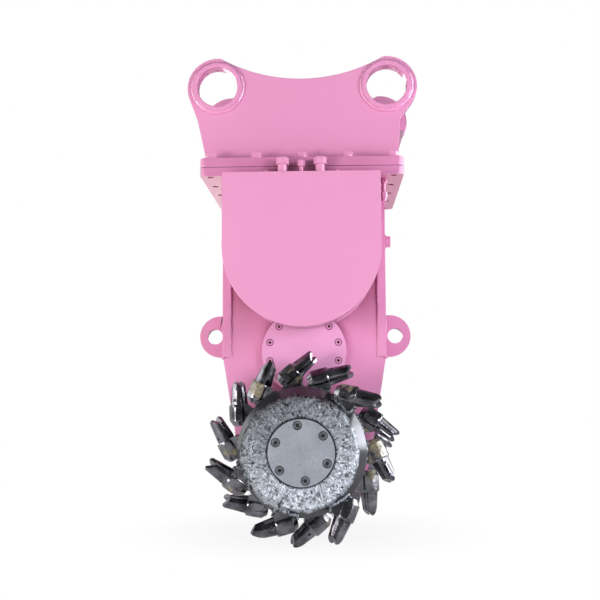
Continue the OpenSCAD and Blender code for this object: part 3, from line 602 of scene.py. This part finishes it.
def scatter_tree():
    """Puts a piece on each point, turned as the point's own turn says."""
    inputs = {"Piece": "NodeSocketObject", "Finish": "NodeSocketMaterial"}
    tree, given, out = group_tree("pieces_on_points", inputs)
    piece = add(tree, "GeometryNodeObjectInfo", {"Object": given.outputs["Piece"]})
    turn = add(tree, "GeometryNodeInputNamedAttribute", {"Name": "turn"}, data_type="FLOAT_VECTOR")
    turned = add(tree, "FunctionNodeEulerToRotation", {"Euler": turn.outputs["Attribute"]})
    placed = add(
        tree, "GeometryNodeInstanceOnPoints",
        {
            "Points": given.outputs["Geometry"],
            "Instance": piece.outputs["Geometry"],
            "Rotation": turned.outputs["Rotation"],
        },
    )
    real = add(tree, "GeometryNodeRealizeInstances", {"Geometry": placed.outputs["Instances"]})
    done = add(
        tree, "GeometryNodeSetMaterial",
        {"Geometry": real.outputs["Geometry"], "Material": given.outputs["Finish"]},
    )
    tree.links.new(done.outputs["Geometry"], out.inputs["Geometry"])
    return tree


def scatter(name, template, places, material):
    """Copies of a template at a list of matrices, as one mesh."""
    mesh = bpy.data.meshes.new(name)
    mesh.from_pydata([m.translation for m in places], [], [])
    turns = mesh.attributes.new("turn", "FLOAT_VECTOR", "POINT")
    for item, m in zip(turns.data, places):
        item.vector = m.to_euler()
    points = mesh_object(name + "_points", mesh)
    tree = bpy.data.node_groups.get("pieces_on_points") or scatter_tree()
    modifier = points.modifiers.new("pieces", "NODES")
    modifier.node_group = tree
    set_input(modifier, tree, "Piece", template)
    set_input(modifier, tree, "Finish", material)
    return evaluated(points, name)


def bead_tree():
    """Sweeps a rippled bead along every edge path."""
    tree, given, out = group_tree(
        "rippled_bead",
        {
            "Radius": "NodeSocketFloat", "Ripple": "NodeSocketFloat", "Unevenness": "NodeSocketFloat",
            "Finish": "NodeSocketMaterial",
        },
    )
    ripple, radius = given.outputs["Ripple"], given.outputs["Radius"]
    curve = add(tree, "GeometryNodeMeshToCurve", {"Mesh": given.outputs["Geometry"]})
    third = maths(tree, "DIVIDE", ripple, 3.0)
    even = add(
        tree, "GeometryNodeResampleCurve", {"Curve": curve.outputs["Curve"], "Length": third}, mode="LENGTH"
    )
    along = add(tree, "GeometryNodeSplineParameter").outputs["Length"]
    wave = maths(tree, "SINE", maths(tree, "MULTIPLY", maths(tree, "DIVIDE", along, ripple), math.tau))
    wobble = add(tree, "ShaderNodeTexNoise", {"Scale": 30.0}).outputs["Fac"]
    swell = maths(tree, "MULTIPLY_ADD", wobble, 0.5, maths(tree, "MULTIPLY_ADD", wave, 0.12, 0.75))
    sized = maths(tree, "MULTIPLY", swell, radius)
    profile = add(tree, "GeometryNodeCurvePrimitiveCircle", {"Resolution": 8, "Radius": 1.0})
    swept = add(
        tree, "GeometryNodeCurveToMesh",
        {
            "Curve": even.outputs["Curve"], "Profile Curve": profile.outputs["Curve"],
            "Fill Caps": True, "Scale": sized,
        },
    )
    lumps_at = add(tree, "ShaderNodeTexNoise", {"Scale": 110.0, "Detail": 2.0}).outputs["Fac"]
    centred = maths(tree, "SUBTRACT", lumps_at, 0.5)
    reach = maths(tree, "MULTIPLY", radius, given.outputs["Unevenness"])
    push = maths(tree, "MULTIPLY", maths(tree, "MULTIPLY", centred, reach), 3.0)
    shift = vectors(tree, "SCALE", add(tree, "GeometryNodeInputNormal").outputs["Normal"], Scale=push)
    rough = add(tree, "GeometryNodeSetPosition", {"Geometry": swept.outputs["Mesh"], "Offset": shift})
    smooth = add(tree, "GeometryNodeSetShadeSmooth", {"Geometry": rough.outputs["Geometry"]})
    done = add(
        tree, "GeometryNodeSetMaterial",
        {"Geometry": smooth.outputs["Geometry"], "Material": given.outputs["Finish"]},
    )
    tree.links.new(done.outputs["Geometry"], out.inputs["Geometry"])
    return tree


def bead_on(name, mesh, radius, material, roughness=0.0, ripple=None):
    """A weld bead along the edges of a mesh."""
    line = mesh_object(name + "_line", mesh)
    tree = bpy.data.node_groups.get("rippled_bead") or bead_tree()
    modifier = line.modifiers.new("bead", "NODES")
    modifier.node_group = tree
    set_input(modifier, tree, "Radius", radius)
    set_input(modifier, tree, "Ripple", ripple or settings().ripple)
    set_input(modifier, tree, "Unevenness", roughness)
    set_input(modifier, tree, "Finish", material)
    return evaluated(line, name)


def beads(name, paths, radius, material, ripple=None, roughness=0.0):
    """Weld beads along a list of paths, each a list of points, as one mesh."""
    bm = bmesh.new()
    for path in paths:
        points = [bm.verts.new(p) for p in path]
        for a, b in zip(points, points[1:]):
            bm.edges.new((a, b))
    mesh = bpy.data.meshes.new(name)
    bm.to_mesh(mesh)
    bm.free()
    return bead_on(name, mesh, radius, material, roughness, ripple)


def smooth_tree():
    """Shades a piece smooth, except over its sharp edges."""
    tree, given, out = group_tree("smooth_but_sharp", {"Limit": "NodeSocketFloat"})
    smooth = add(tree, "GeometryNodeSetShadeSmooth", {"Geometry": given.outputs["Geometry"]}, domain="FACE")
    bend = add(tree, "GeometryNodeInputMeshEdgeAngle").outputs["Unsigned Angle"]
    sharp = add(tree, "FunctionNodeCompare", {0: bend, 1: given.outputs["Limit"]}, operation="GREATER_THAN")
    kept = add(
        tree, "GeometryNodeSetShadeSmooth",
        {
            "Geometry": smooth.outputs["Geometry"],
            "Selection": sharp.outputs["Result"],
            "Shade Smooth": False,
        },
        domain="EDGE",
    )
    tree.links.new(kept.outputs["Geometry"], out.inputs["Geometry"])
    return tree


def soften(obj, width, wide):
    """Breaks the sharp edges of a piece of the frame by a width, with modifiers alone, in full if wide."""
    merge = obj.modifiers.new("merge", "WELD")
    merge.merge_threshold = WELD_TOLERANCE
    flat = obj.modifiers.new("whole_faces", "DECIMATE")
    flat.decimate_type = "DISSOLVE"
    flat.angle_limit = FLAT_ANGLE
    edge = obj.modifiers.new("broken_edges", "BEVEL")
    edge.width = width
    edge.segments = 2
    edge.limit_method = "ANGLE"
    edge.angle_limit = EDGE_ANGLE
    edge.use_clamp_overlap = not wide
    shade = obj.modifiers.new("shading", "NODES")
    shade.node_group = bpy.data.node_groups.get("smooth_but_sharp") or smooth_tree()
    set_input(shade, shade.node_group, "Limit", SHARP_ANGLE)
    even = obj.modifiers.new("even_normals", "WEIGHTED_NORMAL")
    even.keep_sharp = True
    even.weight = 80


def mirror_x(x):
    """Place across the middle plane of the drum's axis."""
    return 2 * AXIS_X - x


def ring(bm, radius, y, corners):
    """Corners of a ring across Y."""
    turns = [math.tau * k / corners for k in range(corners)]
    return [bm.verts.new((radius * math.cos(t), y, radius * math.sin(t))) for t in turns]


def wall(bm, low, high):
    """Faces between two rings."""
    for k in range(len(low)):
        bm.faces.new((low[k], low[k - 1], high[k - 1], high[k]))


def hand_over(obj, body):
    """Hangs a piece on the empty of the body that it rides on."""
    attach(obj, body)


def both(rear):
    """The paths of the rear end, and their mirror images at the front."""
    return rear + [[(x, -y, z) for x, y, z in path] for path in rear]


def line(a, b):
    return [Vector(a), Vector(b)]


def arc(centre_z, radius, y, start, stop, steps=48):
    """Arc in the plane of the drum's face, with its angles in degrees from the X axis."""
    angles = [math.radians(start + (stop - start) * i / steps) for i in range(steps + 1)]
    return [Vector((AXIS_X + radius * math.cos(a), y, centre_z + radius * math.sin(a))) for a in angles]


class CUTTER_OT_finishes(bpy.types.Operator):
    """Gives each piece of the frame its material, and breaks its sharp edges"""

    bl_idname = "cutter.finishes"
    bl_label = "Finishes"

    def execute(self, context):
        slots = {row["node"]: row["material_slot"] for row in frame["record"]["subparts"]}
        for name, obj in frame["nodes"].items():
            family = name.removesuffix("_front").removesuffix("_rear")
            obj.data.materials.clear()
            obj.data.materials.append(finish(FINISH_OF_FAMILY.get(family, slots[name])))
            usual = EDGE_OF_PAINTED if slots[name] == "housing_paint" else EDGE_OF_OTHERS
            soften(obj, EDGE_OF_FAMILY.get(family, usual), family in WIDE_EDGES)
        return {"FINISHED"}


LUG_INSET = 5 * MM


class CUTTER_OT_welds(bpy.types.Operator):
    """Lays the painted weld beads of the bracket, the housing and the motor boxes"""

    bl_idname = "cutter.welds"
    bl_label = "Welds"

    fillet: FloatProperty(
        name="Boss fillet", description="Radius of the bead round a pin boss",
        default=7.5 * MM, unit="LENGTH",
    )
    corner: FloatProperty(
        name="Corner", description="Corner radius of the two plates", default=18 * MM, unit="LENGTH"
    )
    # The band in the joint is painted shade; recess and half gap set where it sits.
    recess: FloatProperty(
        name="Recess", description="Depth of the sealant inside the plates' edges",
        default=0.8 * MM, unit="LENGTH",
    )
    half_gap: FloatProperty(
        name="Half gap", description="Half height of the line of sealant",
        default=1.6 * MM, unit="LENGTH",
    )
    inset: FloatProperty(
        name="Inset", description="How far a weld along an ear ends before the plate",
        default=8 * MM, unit="LENGTH",
    )
    swell: FloatProperty(
        name="Swell", description="Spacing of the swells of the boss fillets",
        default=26 * MM, unit="LENGTH",
    )

    def bracket(self):
        top = BASE_HIGH[2]
        left, right = BASE_LOW[0] + self.inset, BASE_HIGH[0] - self.inset
        boss_r = (BOSS_HIGH[2] - BOSS_LOW[2]) / 2
        pin_z = (BOSS_HIGH[2] + BOSS_LOW[2]) / 2
        bosses = [BOSS_LOW[0] + boss_r, BOSS_HIGH[0] - boss_r]
        feet = [line((left, y, top), (right, y, top)) for y in (EAR_LOW[1], EAR_HIGH[1])]
        circle = arc(pin_z, boss_r, EAR_HIGH[1], 0, 360)
        rings = [[p + Vector((x - AXIS_X, 0, 0)) for p in circle] for x in bosses]
        return feet, rings

    def joint(self):
        """Painted shade: a dark band just inside the plates' edges, where the joint between the two plates
        lies in shade.
        """
        bm = bmesh.new()
        round_r = self.corner - self.recess
        x, y = BASE_HIGH[0] - AXIS_X - self.corner, BASE_HIGH[1] - self.corner
        quarter = [(math.cos(math.radians(a)), math.sin(math.radians(a))) for a in range(0, 91, 15)]
        outline = []
        for sx, sy in ((1, 1), (-1, 1), (-1, -1), (1, -1)):
            turn = quarter if sx * sy > 0 else quarter[::-1]
            outline += [(sx * (x + c * round_r), sy * (y + s * round_r)) for c, s in turn]
        levels = (BASE_LOW[2] - self.half_gap, BASE_LOW[2] + self.half_gap)
        loops = [[bm.verts.new((AXIS_X + px, py, level)) for px, py in outline] for level in levels]
        wall(bm, *loops)
        for loop in loops:
            bm.faces.new(loop)
        made = from_bmesh("plate_joint", bm)
        made.data.materials.append(finish("counterbore"))
        return made

    def housing(self):
        under, foot = FLANGE_LOW[2], SIDE_LOW[2]
        box_r = (BOX_HIGH[0] - BOX_LOW[0]) / 2
        motor_z = BOX_LOW[2] + box_r
        case_y, side_y, box_y = CASE_FACE_Y, SIDE_HIGH[1], BOX_HIGH[1]
        paths = []
        right = (SIDE_LOW[0], SIDE_HIGH[0])
        for x_in, x_out in (right, [mirror_x(x) for x in right]):
            paths.append(line((x_in, case_y, foot), (x_in, case_y, under)))
            paths.append(line((x_out, 0, under), (x_out, side_y, under)))
            paths.append(line((x_out, 0, foot), (x_out, side_y, foot)))
        for x in (BOX_LOW[0], BOX_HIGH[0]):
            paths.append(line((x, case_y, motor_z), (x, case_y, under)))
            paths.append(line((x, case_y, under), (x, FLANGE_HIGH[1], under)))
            paths.append(line((x, box_y, motor_z), (x, box_y, under)))
        paths.append(arc(motor_z, box_r, box_y, 180, 360))
        paths.append(arc(motor_z, box_r, case_y, 185, 355))
        for side in (LUG_LOW[0], mirror_x(LUG_LOW[0])):
            low, high = LUG_LOW[2] + LUG_INSET, LUG_HIGH[2] - LUG_INSET
            paths.append(line((side, LUG_HIGH[1], low), (side, LUG_HIGH[1], high)))
        return paths

    def execute(self, context):
        paint = finish("puddled")
        feet, rings = self.bracket()
        hand_over(beads("bracket_welds", both(feet), settings().bead, paint), "housing")
        hand_over(self.joint(), "housing")
        made = beads("boss_fillets", both(rings), self.fillet, paint, self.swell)
        hand_over(made, "housing")
        made = beads("housing_welds", both(self.housing()), settings().bead, paint, roughness=0.35)
        hand_over(made, "housing")
        return {"FINISHED"}


# Hardfacing: sizes of the noises that bend, crowd, chip and wear its runs of weld metal
RUNS, RUN_SHIFT_SIZE = 30, 30 * MM
BEND_SIZE, BEND_REACH, BEND_PHASE = 24 * MM, 14 * MM, 6 * MM
SCALE_LENGTH, BLOB_SIZE, CHIP_SIZE, WEAR_SIZE = 9 * MM, 7 * MM, 3.2 * MM, 110 * MM
# It starts clear of the cover, stands a little proud of the drum and dips into it at both rims
COVER_GAP, PROUD, DIP, SHEET_T = 2 * MM, 0.2 * MM, 1.0 * MM, 2 * MM
RAGGED = 6 * MM
LOW_LEFT = math.radians(205)


def lumps(angle, radius, seed):
    """Relief of hardfacing laid in short overlapping runs that point outward, from 0 to 1."""
    x, z = radius * math.cos(angle), radius * math.sin(angle)
    spot = Vector((x, z, seed))
    bend = noise.noise(spot / BEND_SIZE) * BEND_REACH
    turns = RUNS * angle + 1.6 * noise.noise(spot / RUN_SHIFT_SIZE)
    runs = math.sin(turns + bend / BEND_PHASE)
    scale = noise.noise(Vector((turns / 2.4, (radius + bend) / SCALE_LENGTH, seed)))
    blobs = noise.noise(spot / BLOB_SIZE)
    chips = noise.noise(spot / CHIP_SIZE)
    wear = noise.noise(Vector((x, z, seed + 4)) / WEAR_SIZE)
    strength = min(1.0, max(0.25, 0.62 + 1.3 * wear))
    return max(0.0, min(1.0, 0.5 + strength * (0.1 * runs + 0.55 * scale + 0.5 * blobs) + 0.2 * chips))


class CUTTER_OT_hardfacing(bpy.types.Operator):
    """Lays the rough hardfacing on the end face and bevel of each drum"""

    bl_idname = "cutter.hardfacing"
    bl_label = "Hardfacing"

    rings: IntProperty(
        name="Rings", description="Rings of faces from the cover to the rim", default=44
    )
    spokes: IntProperty(name="Spokes", description="Faces round the drum", default=420)

    def sheet(self, name, side):
        s = settings()
        inner, flat = END_COVER_R + COVER_GAP, s.face_radius
        bevel_run = DRUM_R - flat
        bm = bmesh.new()
        layer = bm.verts.layers.float.new("relief")
        grid = []
        for i in range(self.rings + 1):
            share = i / self.rings
            row = []
            for k in range(self.spokes):
                angle = math.tau * k / self.spokes
                spot = Vector((math.cos(angle) * 4, math.sin(angle) * 4, side * 5))
                ragged = noise.noise(spot) * RAGGED
                low_left = max(0.0, math.cos(angle - LOW_LEFT))
                rim = flat + (0.3 + 0.45 * low_left) * bevel_run + ragged
                radius = inner + (rim - inner) * share
                x, z = radius * math.cos(angle), radius * math.sin(angle)
                fade = min(1.0, share * 12, (1 - share) * 7)
                height = lumps(angle, radius, side * 3.3) * max(0.0, fade)
                drop = max(0.0, radius - flat) * s.bevel_length / bevel_run
                skirt = -DIP if i in (0, self.rings) else PROUD
                depth = FACE_Y - drop + height * s.relief + skirt
                vert = bm.verts.new((AXIS_X + x, side * depth, AXIS_Z + z))
                vert[layer] = height
                row.append(vert)
            grid.append(row)
        for inner_row, outer_row in zip(grid, grid[1:]):
            for k in range(self.spokes):
                after = (k + 1) % self.spokes
                bm.faces.new((inner_row[k], inner_row[after], outer_row[after], outer_row[k]))
        inward = Vector((0, side * SHEET_T, 0))
        back = [[bm.verts.new(v.co - inward) for v in edge] for edge in (grid[0], grid[-1])]
        for k in range(self.spokes):
            after = (k + 1) % self.spokes
            bm.faces.new((grid[0][k], back[0][k], back[0][after], grid[0][after]))
            bm.faces.new((back[1][k], grid[-1][k], grid[-1][after], back[1][after]))
            bm.faces.new((back[0][k], back[1][k], back[1][after], back[0][after]))
        for face in bm.faces:
            face.smooth = True
        made = from_bmesh(name, bm)
        made.data.materials.append(finish("hardfacing"))
        return made

    def execute(self, context):
        for name, side in (("drum_hardfacing_front", -1), ("drum_hardfacing_rear", 1)):
            hand_over(self.sheet(name, side), "rotor")
        return {"FINISHED"}


# Vertices this close, seen along Y, belong to one screw
SCREW_REACH = 24 * MM
# Width of a screw's head and socket as shares of its thread
HEAD_SHARE, SOCKET_SHARE = 0.78, 0.4
# Space round the ring of painted shade, and the heights of the ring and of the disc in the socket
SLACK = 0.1 * MM
RING_LEVELS = (0, -1 * MM)
DISC_LEVELS = (-0.6 * MM, -1.6 * MM)


def screw_places(node):
    """Middle of each screw of a node across Y, with its outer end along Y."""
    groups = []
    for vert in frame["nodes"][node].data.vertices:
        spot = vert.co
        for group in groups:
            first = group[0]
            if first.y * spot.y > 0 and math.hypot(first.x - spot.x, first.z - spot.z) < SCREW_REACH:
                group.append(spot)
                break
        else:
            groups.append([spot])
    places = []
    for group in groups:
        xs, zs = [p.x for p in group], [p.z for p in group]
        end = max((p.y for p in group), key=abs)
        places.append(Vector(((min(xs) + max(xs)) / 2, end, (min(zs) + max(zs)) / 2)))
    return places


class CUTTER_OT_screws(bpy.types.Operator):
    """Puts dark rings in the counterbores and dark discs in the sockets of the screws that show, as painted
    shade
    """

    bl_idname = "cutter.screws"
    bl_label = "Screws"

    gap: FloatProperty(
        name="Gap", description="Width of a counterbore round its head",
        default=1.8 * MM, unit="LENGTH",
    )
    # The ring is painted shade; this is how far it sits down in the counterbore.
    depth: FloatProperty(
        name="Depth", description="Depth of the dirt in a counterbore",
        default=0.5 * MM, unit="LENGTH",
    )

    def template(self, diameter):
        """Ring round a screw head and disc in its socket, a little below the top of the head, both of
        painted shade.
        """
        bm = bmesh.new()
        head, socket = HEAD_SHARE * diameter, SOCKET_SHARE * diameter
        inner, outer = head + SLACK, head + self.gap - SLACK
        top, bottom = RING_LEVELS
        shape = ((inner, top), (outer, top), (outer, bottom), (inner, bottom))
        rings = [ring(bm, r, y, 48) for r, y in shape]
        for a, b in zip(rings, rings[1:] + rings[:1]):
            wall(bm, a, b)
        hexagons = [ring(bm, socket, y, 6) for y in DISC_LEVELS]
        for hexagon in hexagons:
            bm.faces.new(hexagon)
        wall(bm, *hexagons)
        return from_bmesh("screw_dirt", bm)

    def execute(self, context):
        for name, node, diameter, body, slot_name in (
            ("idler_cover_dirt", "idler_cover_screws", 10 * MM, "housing", "housing_paint"),
            ("end_cover_dirt", "end_cover_screws", 12 * MM, "rotor", "screw_steel"),
        ):
            piece = self.template(diameter)
            places = []
            for spot in screw_places(node):
                turn = Euler((0, 0, 0 if spot.y > 0 else math.pi)).to_matrix().to_4x4()
                inward = Vector((0, math.copysign(self.depth, spot.y), 0))
                places.append(Matrix.Translation(spot - inward) @ turn)
            made = scatter(name, piece, places, finish("counterbore"))
            bpy.data.objects.remove(piece)
            hand_over(made, body)
        return {"FINISHED"}


ON_DRUM = 0.25 * MM


def drum_radius(depth):
    """Radius of the drum's outside at a distance from the middle plane."""
    s = settings()
    run = max(0.0, depth - (FACE_Y - s.bevel_length))
    return DRUM_R - run / s.bevel_length * (DRUM_R - s.face_radius)


class CUTTER_OT_teeth(bpy.types.Operator):
    """Welds the feet of the tooth holders to the drums"""

    bl_idname = "cutter.teeth"
    bl_label = "Teeth"

    seam_radius: FloatProperty(
        name="Seam", description="Radius of the weld round the foot of a holder",
        default=5.5 * MM, unit="LENGTH",
    )

    def seam(self, name, holders):
        """Edges of the holders that lie on the drum's skin, as a mesh."""
        bm = bmesh.new()
        bm.from_mesh(holders.data)
        bmesh.ops.remove_doubles(bm, verts=bm.verts, dist=WELD_TOLERANCE)
        on_drum = {
            v for v in bm.verts
            if abs(math.hypot(v.co.x - AXIS_X, v.co.z - AXIS_Z) - drum_radius(abs(v.co.y))) < ON_DRUM
        }
        buried = {f for f in bm.faces if all(v in on_drum for v in f.verts)}
        loop = [
            e for e in bm.edges
            if sum(f in buried for f in e.link_faces) == 1 and len(e.link_faces) == 2
        ]
        if not loop:
            raise RuntimeError("no edge of " + holders.name + " lies on the drum")
        out = bmesh.new()
        made = {}
        for e in loop:
            for v in e.verts:
                if v not in made:
                    made[v] = out.verts.new(v.co)
            out.edges.new([made[v] for v in e.verts])
        bm.free()
        mesh = bpy.data.meshes.new(name)
        out.to_mesh(mesh)
        out.free()
        return mesh

    def execute(self, context):
        for name, node in (
            ("holder_welds_front", "tooth_holders_front"),
            ("holder_welds_rear", "tooth_holders_rear"),
        ):
            mesh = self.seam(name, frame["nodes"][node])
            made = bead_on(name, mesh, self.seam_radius, finish("hardfacing"), 0.5)
            hand_over(made, "rotor")
        return {"FINISHED"}


class CUTTER_OT_stage(bpy.types.Operator):
    """Sets the floor, the lamps, the world and the camera"""

    bl_idname = "cutter.stage"
    bl_label = "Stage"

    key_power: FloatProperty(
        name="Key power", description="Power of the key lamp in watts", default=40.0
    )
    low_power: FloatProperty(
        name="Low power", description="Power of the low front lamp in watts", default=38.0
    )
    side_power: FloatProperty(
        name="Side power", description="Power of each side lamp in watts", default=8.0
    )
    rear_power: FloatProperty(
        name="Rear power", description="Power of the rear lamp in watts", default=30.0
    )
    sky: FloatProperty(name="Sky", description="Strength of the light from all round", default=0.32)
    screens: FloatProperty(
        name="Screens", description="Brightness of the screens in gloss", default=6.0
    )
    bounce: FloatProperty(
        name="Bounce", description="Share of light that the floor gives by itself", default=0.4
    )
    zenith: FloatProperty(
        name="Zenith", description="Strength of the light from straight above", default=0.12
    )

    def floor(self):
        bm = bmesh.new()
        bmesh.ops.create_grid(bm, x_segments=2, y_segments=2, size=9.0)
        low = CAD_BOX[0][2]
        bmesh.ops.translate(bm, verts=bm.verts, vec=(AXIS_X, 0, low))
        obj = from_bmesh("floor", bm)
        made = bpy.data.materials.new("pale_studio_floor")
        made.use_nodes = True
        tree = made.node_tree
        tree.nodes.clear()
        where = add(tree, "ShaderNodeTexCoord").outputs["Object"]
        reach = vectors(tree, "LENGTH", vectors(tree, "SUBTRACT", where, (AXIS_X, 0, low)))
        fade = span(tree, reach, 0.86, 1.0, (0.1, 0.5))
        seen = add(tree, "ShaderNodeLightPath").outputs["Is Camera Ray"]
        share = blend_value(tree, seen, self.bounce, fade)
        plain = add(tree, "ShaderNodeBsdfDiffuse", {"Color": (0.92, 0.92, 0.92, 1)})
        white = add(tree, "ShaderNodeEmission", {"Color": (1, 1, 1, 1), "Strength": 1.0})
        mix = add(
            tree, "ShaderNodeMixShader", {0: share, 1: plain.outputs["BSDF"], 2: white.outputs["Emission"]}
        )
        add(tree, "ShaderNodeOutputMaterial", {"Surface": mix.outputs["Shader"]})
        obj.data.materials.append(made)

    def lamp(self, name, place, power, size, aim, colour):
        data = bpy.data.lights.new(name, "AREA")
        data.energy = power
        data.color = linear(colour)[:3]
        data.size = size
        obj = bpy.data.objects.new(name, data)
        obj.location = place
        obj.rotation_euler = (Vector(aim) - Vector(place)).to_track_quat("-Z", "Y").to_euler()
        bpy.context.collection.objects.link(obj)

    def world(self):
        world = bpy.data.worlds.new("studio")
        bpy.context.scene.world = world
        world.use_nodes = True
        tree = world.node_tree
        tree.nodes.clear()
        rays = add(tree, "ShaderNodeLightPath").outputs
        where = add(tree, "ShaderNodeTexCoord").outputs["Generated"]
        even = span(tree, part_of(tree, where), self.sky, self.zenith, (0.0, 0.8))
        aside = part_of(tree, where, "X")
        right = span(tree, aside, 0.12, self.screens, (0.66, 0.84))
        left = span(tree, aside, 0.35 * self.screens, 0.12, (-0.86, -0.7))
        power = blend_value(tree, rays["Is Glossy Ray"], even, maths(tree, "MAXIMUM", left, right))
        soft = add(tree, "ShaderNodeBackground", {"Color": (1, 1, 1, 1), "Strength": power})
        white = add(tree, "ShaderNodeBackground", {"Color": (1, 1, 1, 1), "Strength": 1.0})
        mix = add(
            tree, "ShaderNodeMixShader",
            {0: rays["Is Camera Ray"], 1: soft.outputs["Background"], 2: white.outputs["Background"]},
        )
        add(tree, "ShaderNodeOutputWorld", {"Surface": mix.outputs["Shader"]})

    def camera(self):
        s = settings()
        yaw, pitch, roll = s.aim
        data = bpy.data.cameras.new("camera")
        data.lens = s.lens
        data.sensor_width = 36.0
        obj = bpy.data.objects.new("camera", data)
        level = math.cos(pitch)
        ahead = Vector((-math.sin(yaw) * level, math.cos(yaw) * level, math.sin(pitch)))
        right = ahead.cross(Vector((0, 0, 1))).normalized()
        up = right.cross(ahead)
        cosine, sine = math.cos(roll), math.sin(roll)
        right, up = right * cosine + up * sine, up * cosine - right * sine
        turn = Matrix((right, up, -ahead)).transposed().to_4x4()
        obj.matrix_world = Matrix.Translation(Vector((AXIS_X, 0, AXIS_Z)) + Vector(s.camera)) @ turn
        bpy.context.collection.objects.link(obj)
        bpy.context.scene.camera = obj

    def execute(self, context):
        aim = (AXIS_X, 0, AXIS_Z + 0.5)
        self.floor()
        self.world()
        for name, place, power, size, colour in (
            ("key", (2.2, -2.1, 0.75), self.key_power, 0.9, "#F7F2FF"),
            ("low_front", (-2.0, -2.2, 0.1), self.low_power, 0.9, "#FFF5F2"),
            ("side_left", (-2.6, -0.9, 0.7), self.side_power, 1.0, "#FFF1EE"),
            ("side_right", (2.6, 0.3, 0.6), self.side_power, 1.0, "#EDE6FF"),
            ("rear", (-0.6, 3.0, 1.0), self.rear_power, 1.6, "#FFFFFF"),
        ):
            spot = (AXIS_X + place[0], place[1], AXIS_Z + place[2])
            self.lamp(name, spot, power, size, aim, colour)
        self.camera()
        context.scene.view_settings.view_transform = "Standard"
        return {"FINISHED"}


class CUTTER_PT_panel(bpy.types.Panel):
    """Lists the steps that dress the cutter"""

    bl_idname = "CUTTER_PT_panel"
    bl_label = "Drum cutter"
    bl_space_type = "VIEW_3D"
    bl_region_type = "UI"
    bl_category = "Cutter"

    def draw(self, context):
        for name in CutterSettings.__annotations__:
            self.layout.prop(context.scene.cutter, name)
        for step in STEPS:
            self.layout.operator(step.bl_idname)


STEPS = (
    CUTTER_OT_stage,
    CUTTER_OT_finishes,
    CUTTER_OT_welds,
    CUTTER_OT_hardfacing,
    CUTTER_OT_screws,
    CUTTER_OT_teeth,
)
CLASSES = (CutterSettings, *STEPS, CUTTER_PT_panel)


def register():
    for made in CLASSES:
        bpy.utils.register_class(made)
    bpy.types.Scene.cutter = PointerProperty(type=CutterSettings)


def unregister():
    del bpy.types.Scene.cutter
    for made in reversed(CLASSES):
        bpy.utils.unregister_class(made)


def main():
    register()
    bpy.ops.cutter.stage()
    bpy.ops.cutter.finishes()
    bpy.ops.cutter.welds()
    bpy.ops.cutter.hardfacing()
    bpy.ops.cutter.screws()
    bpy.ops.cutter.teeth()


if __name__ == "__main__":
    main()
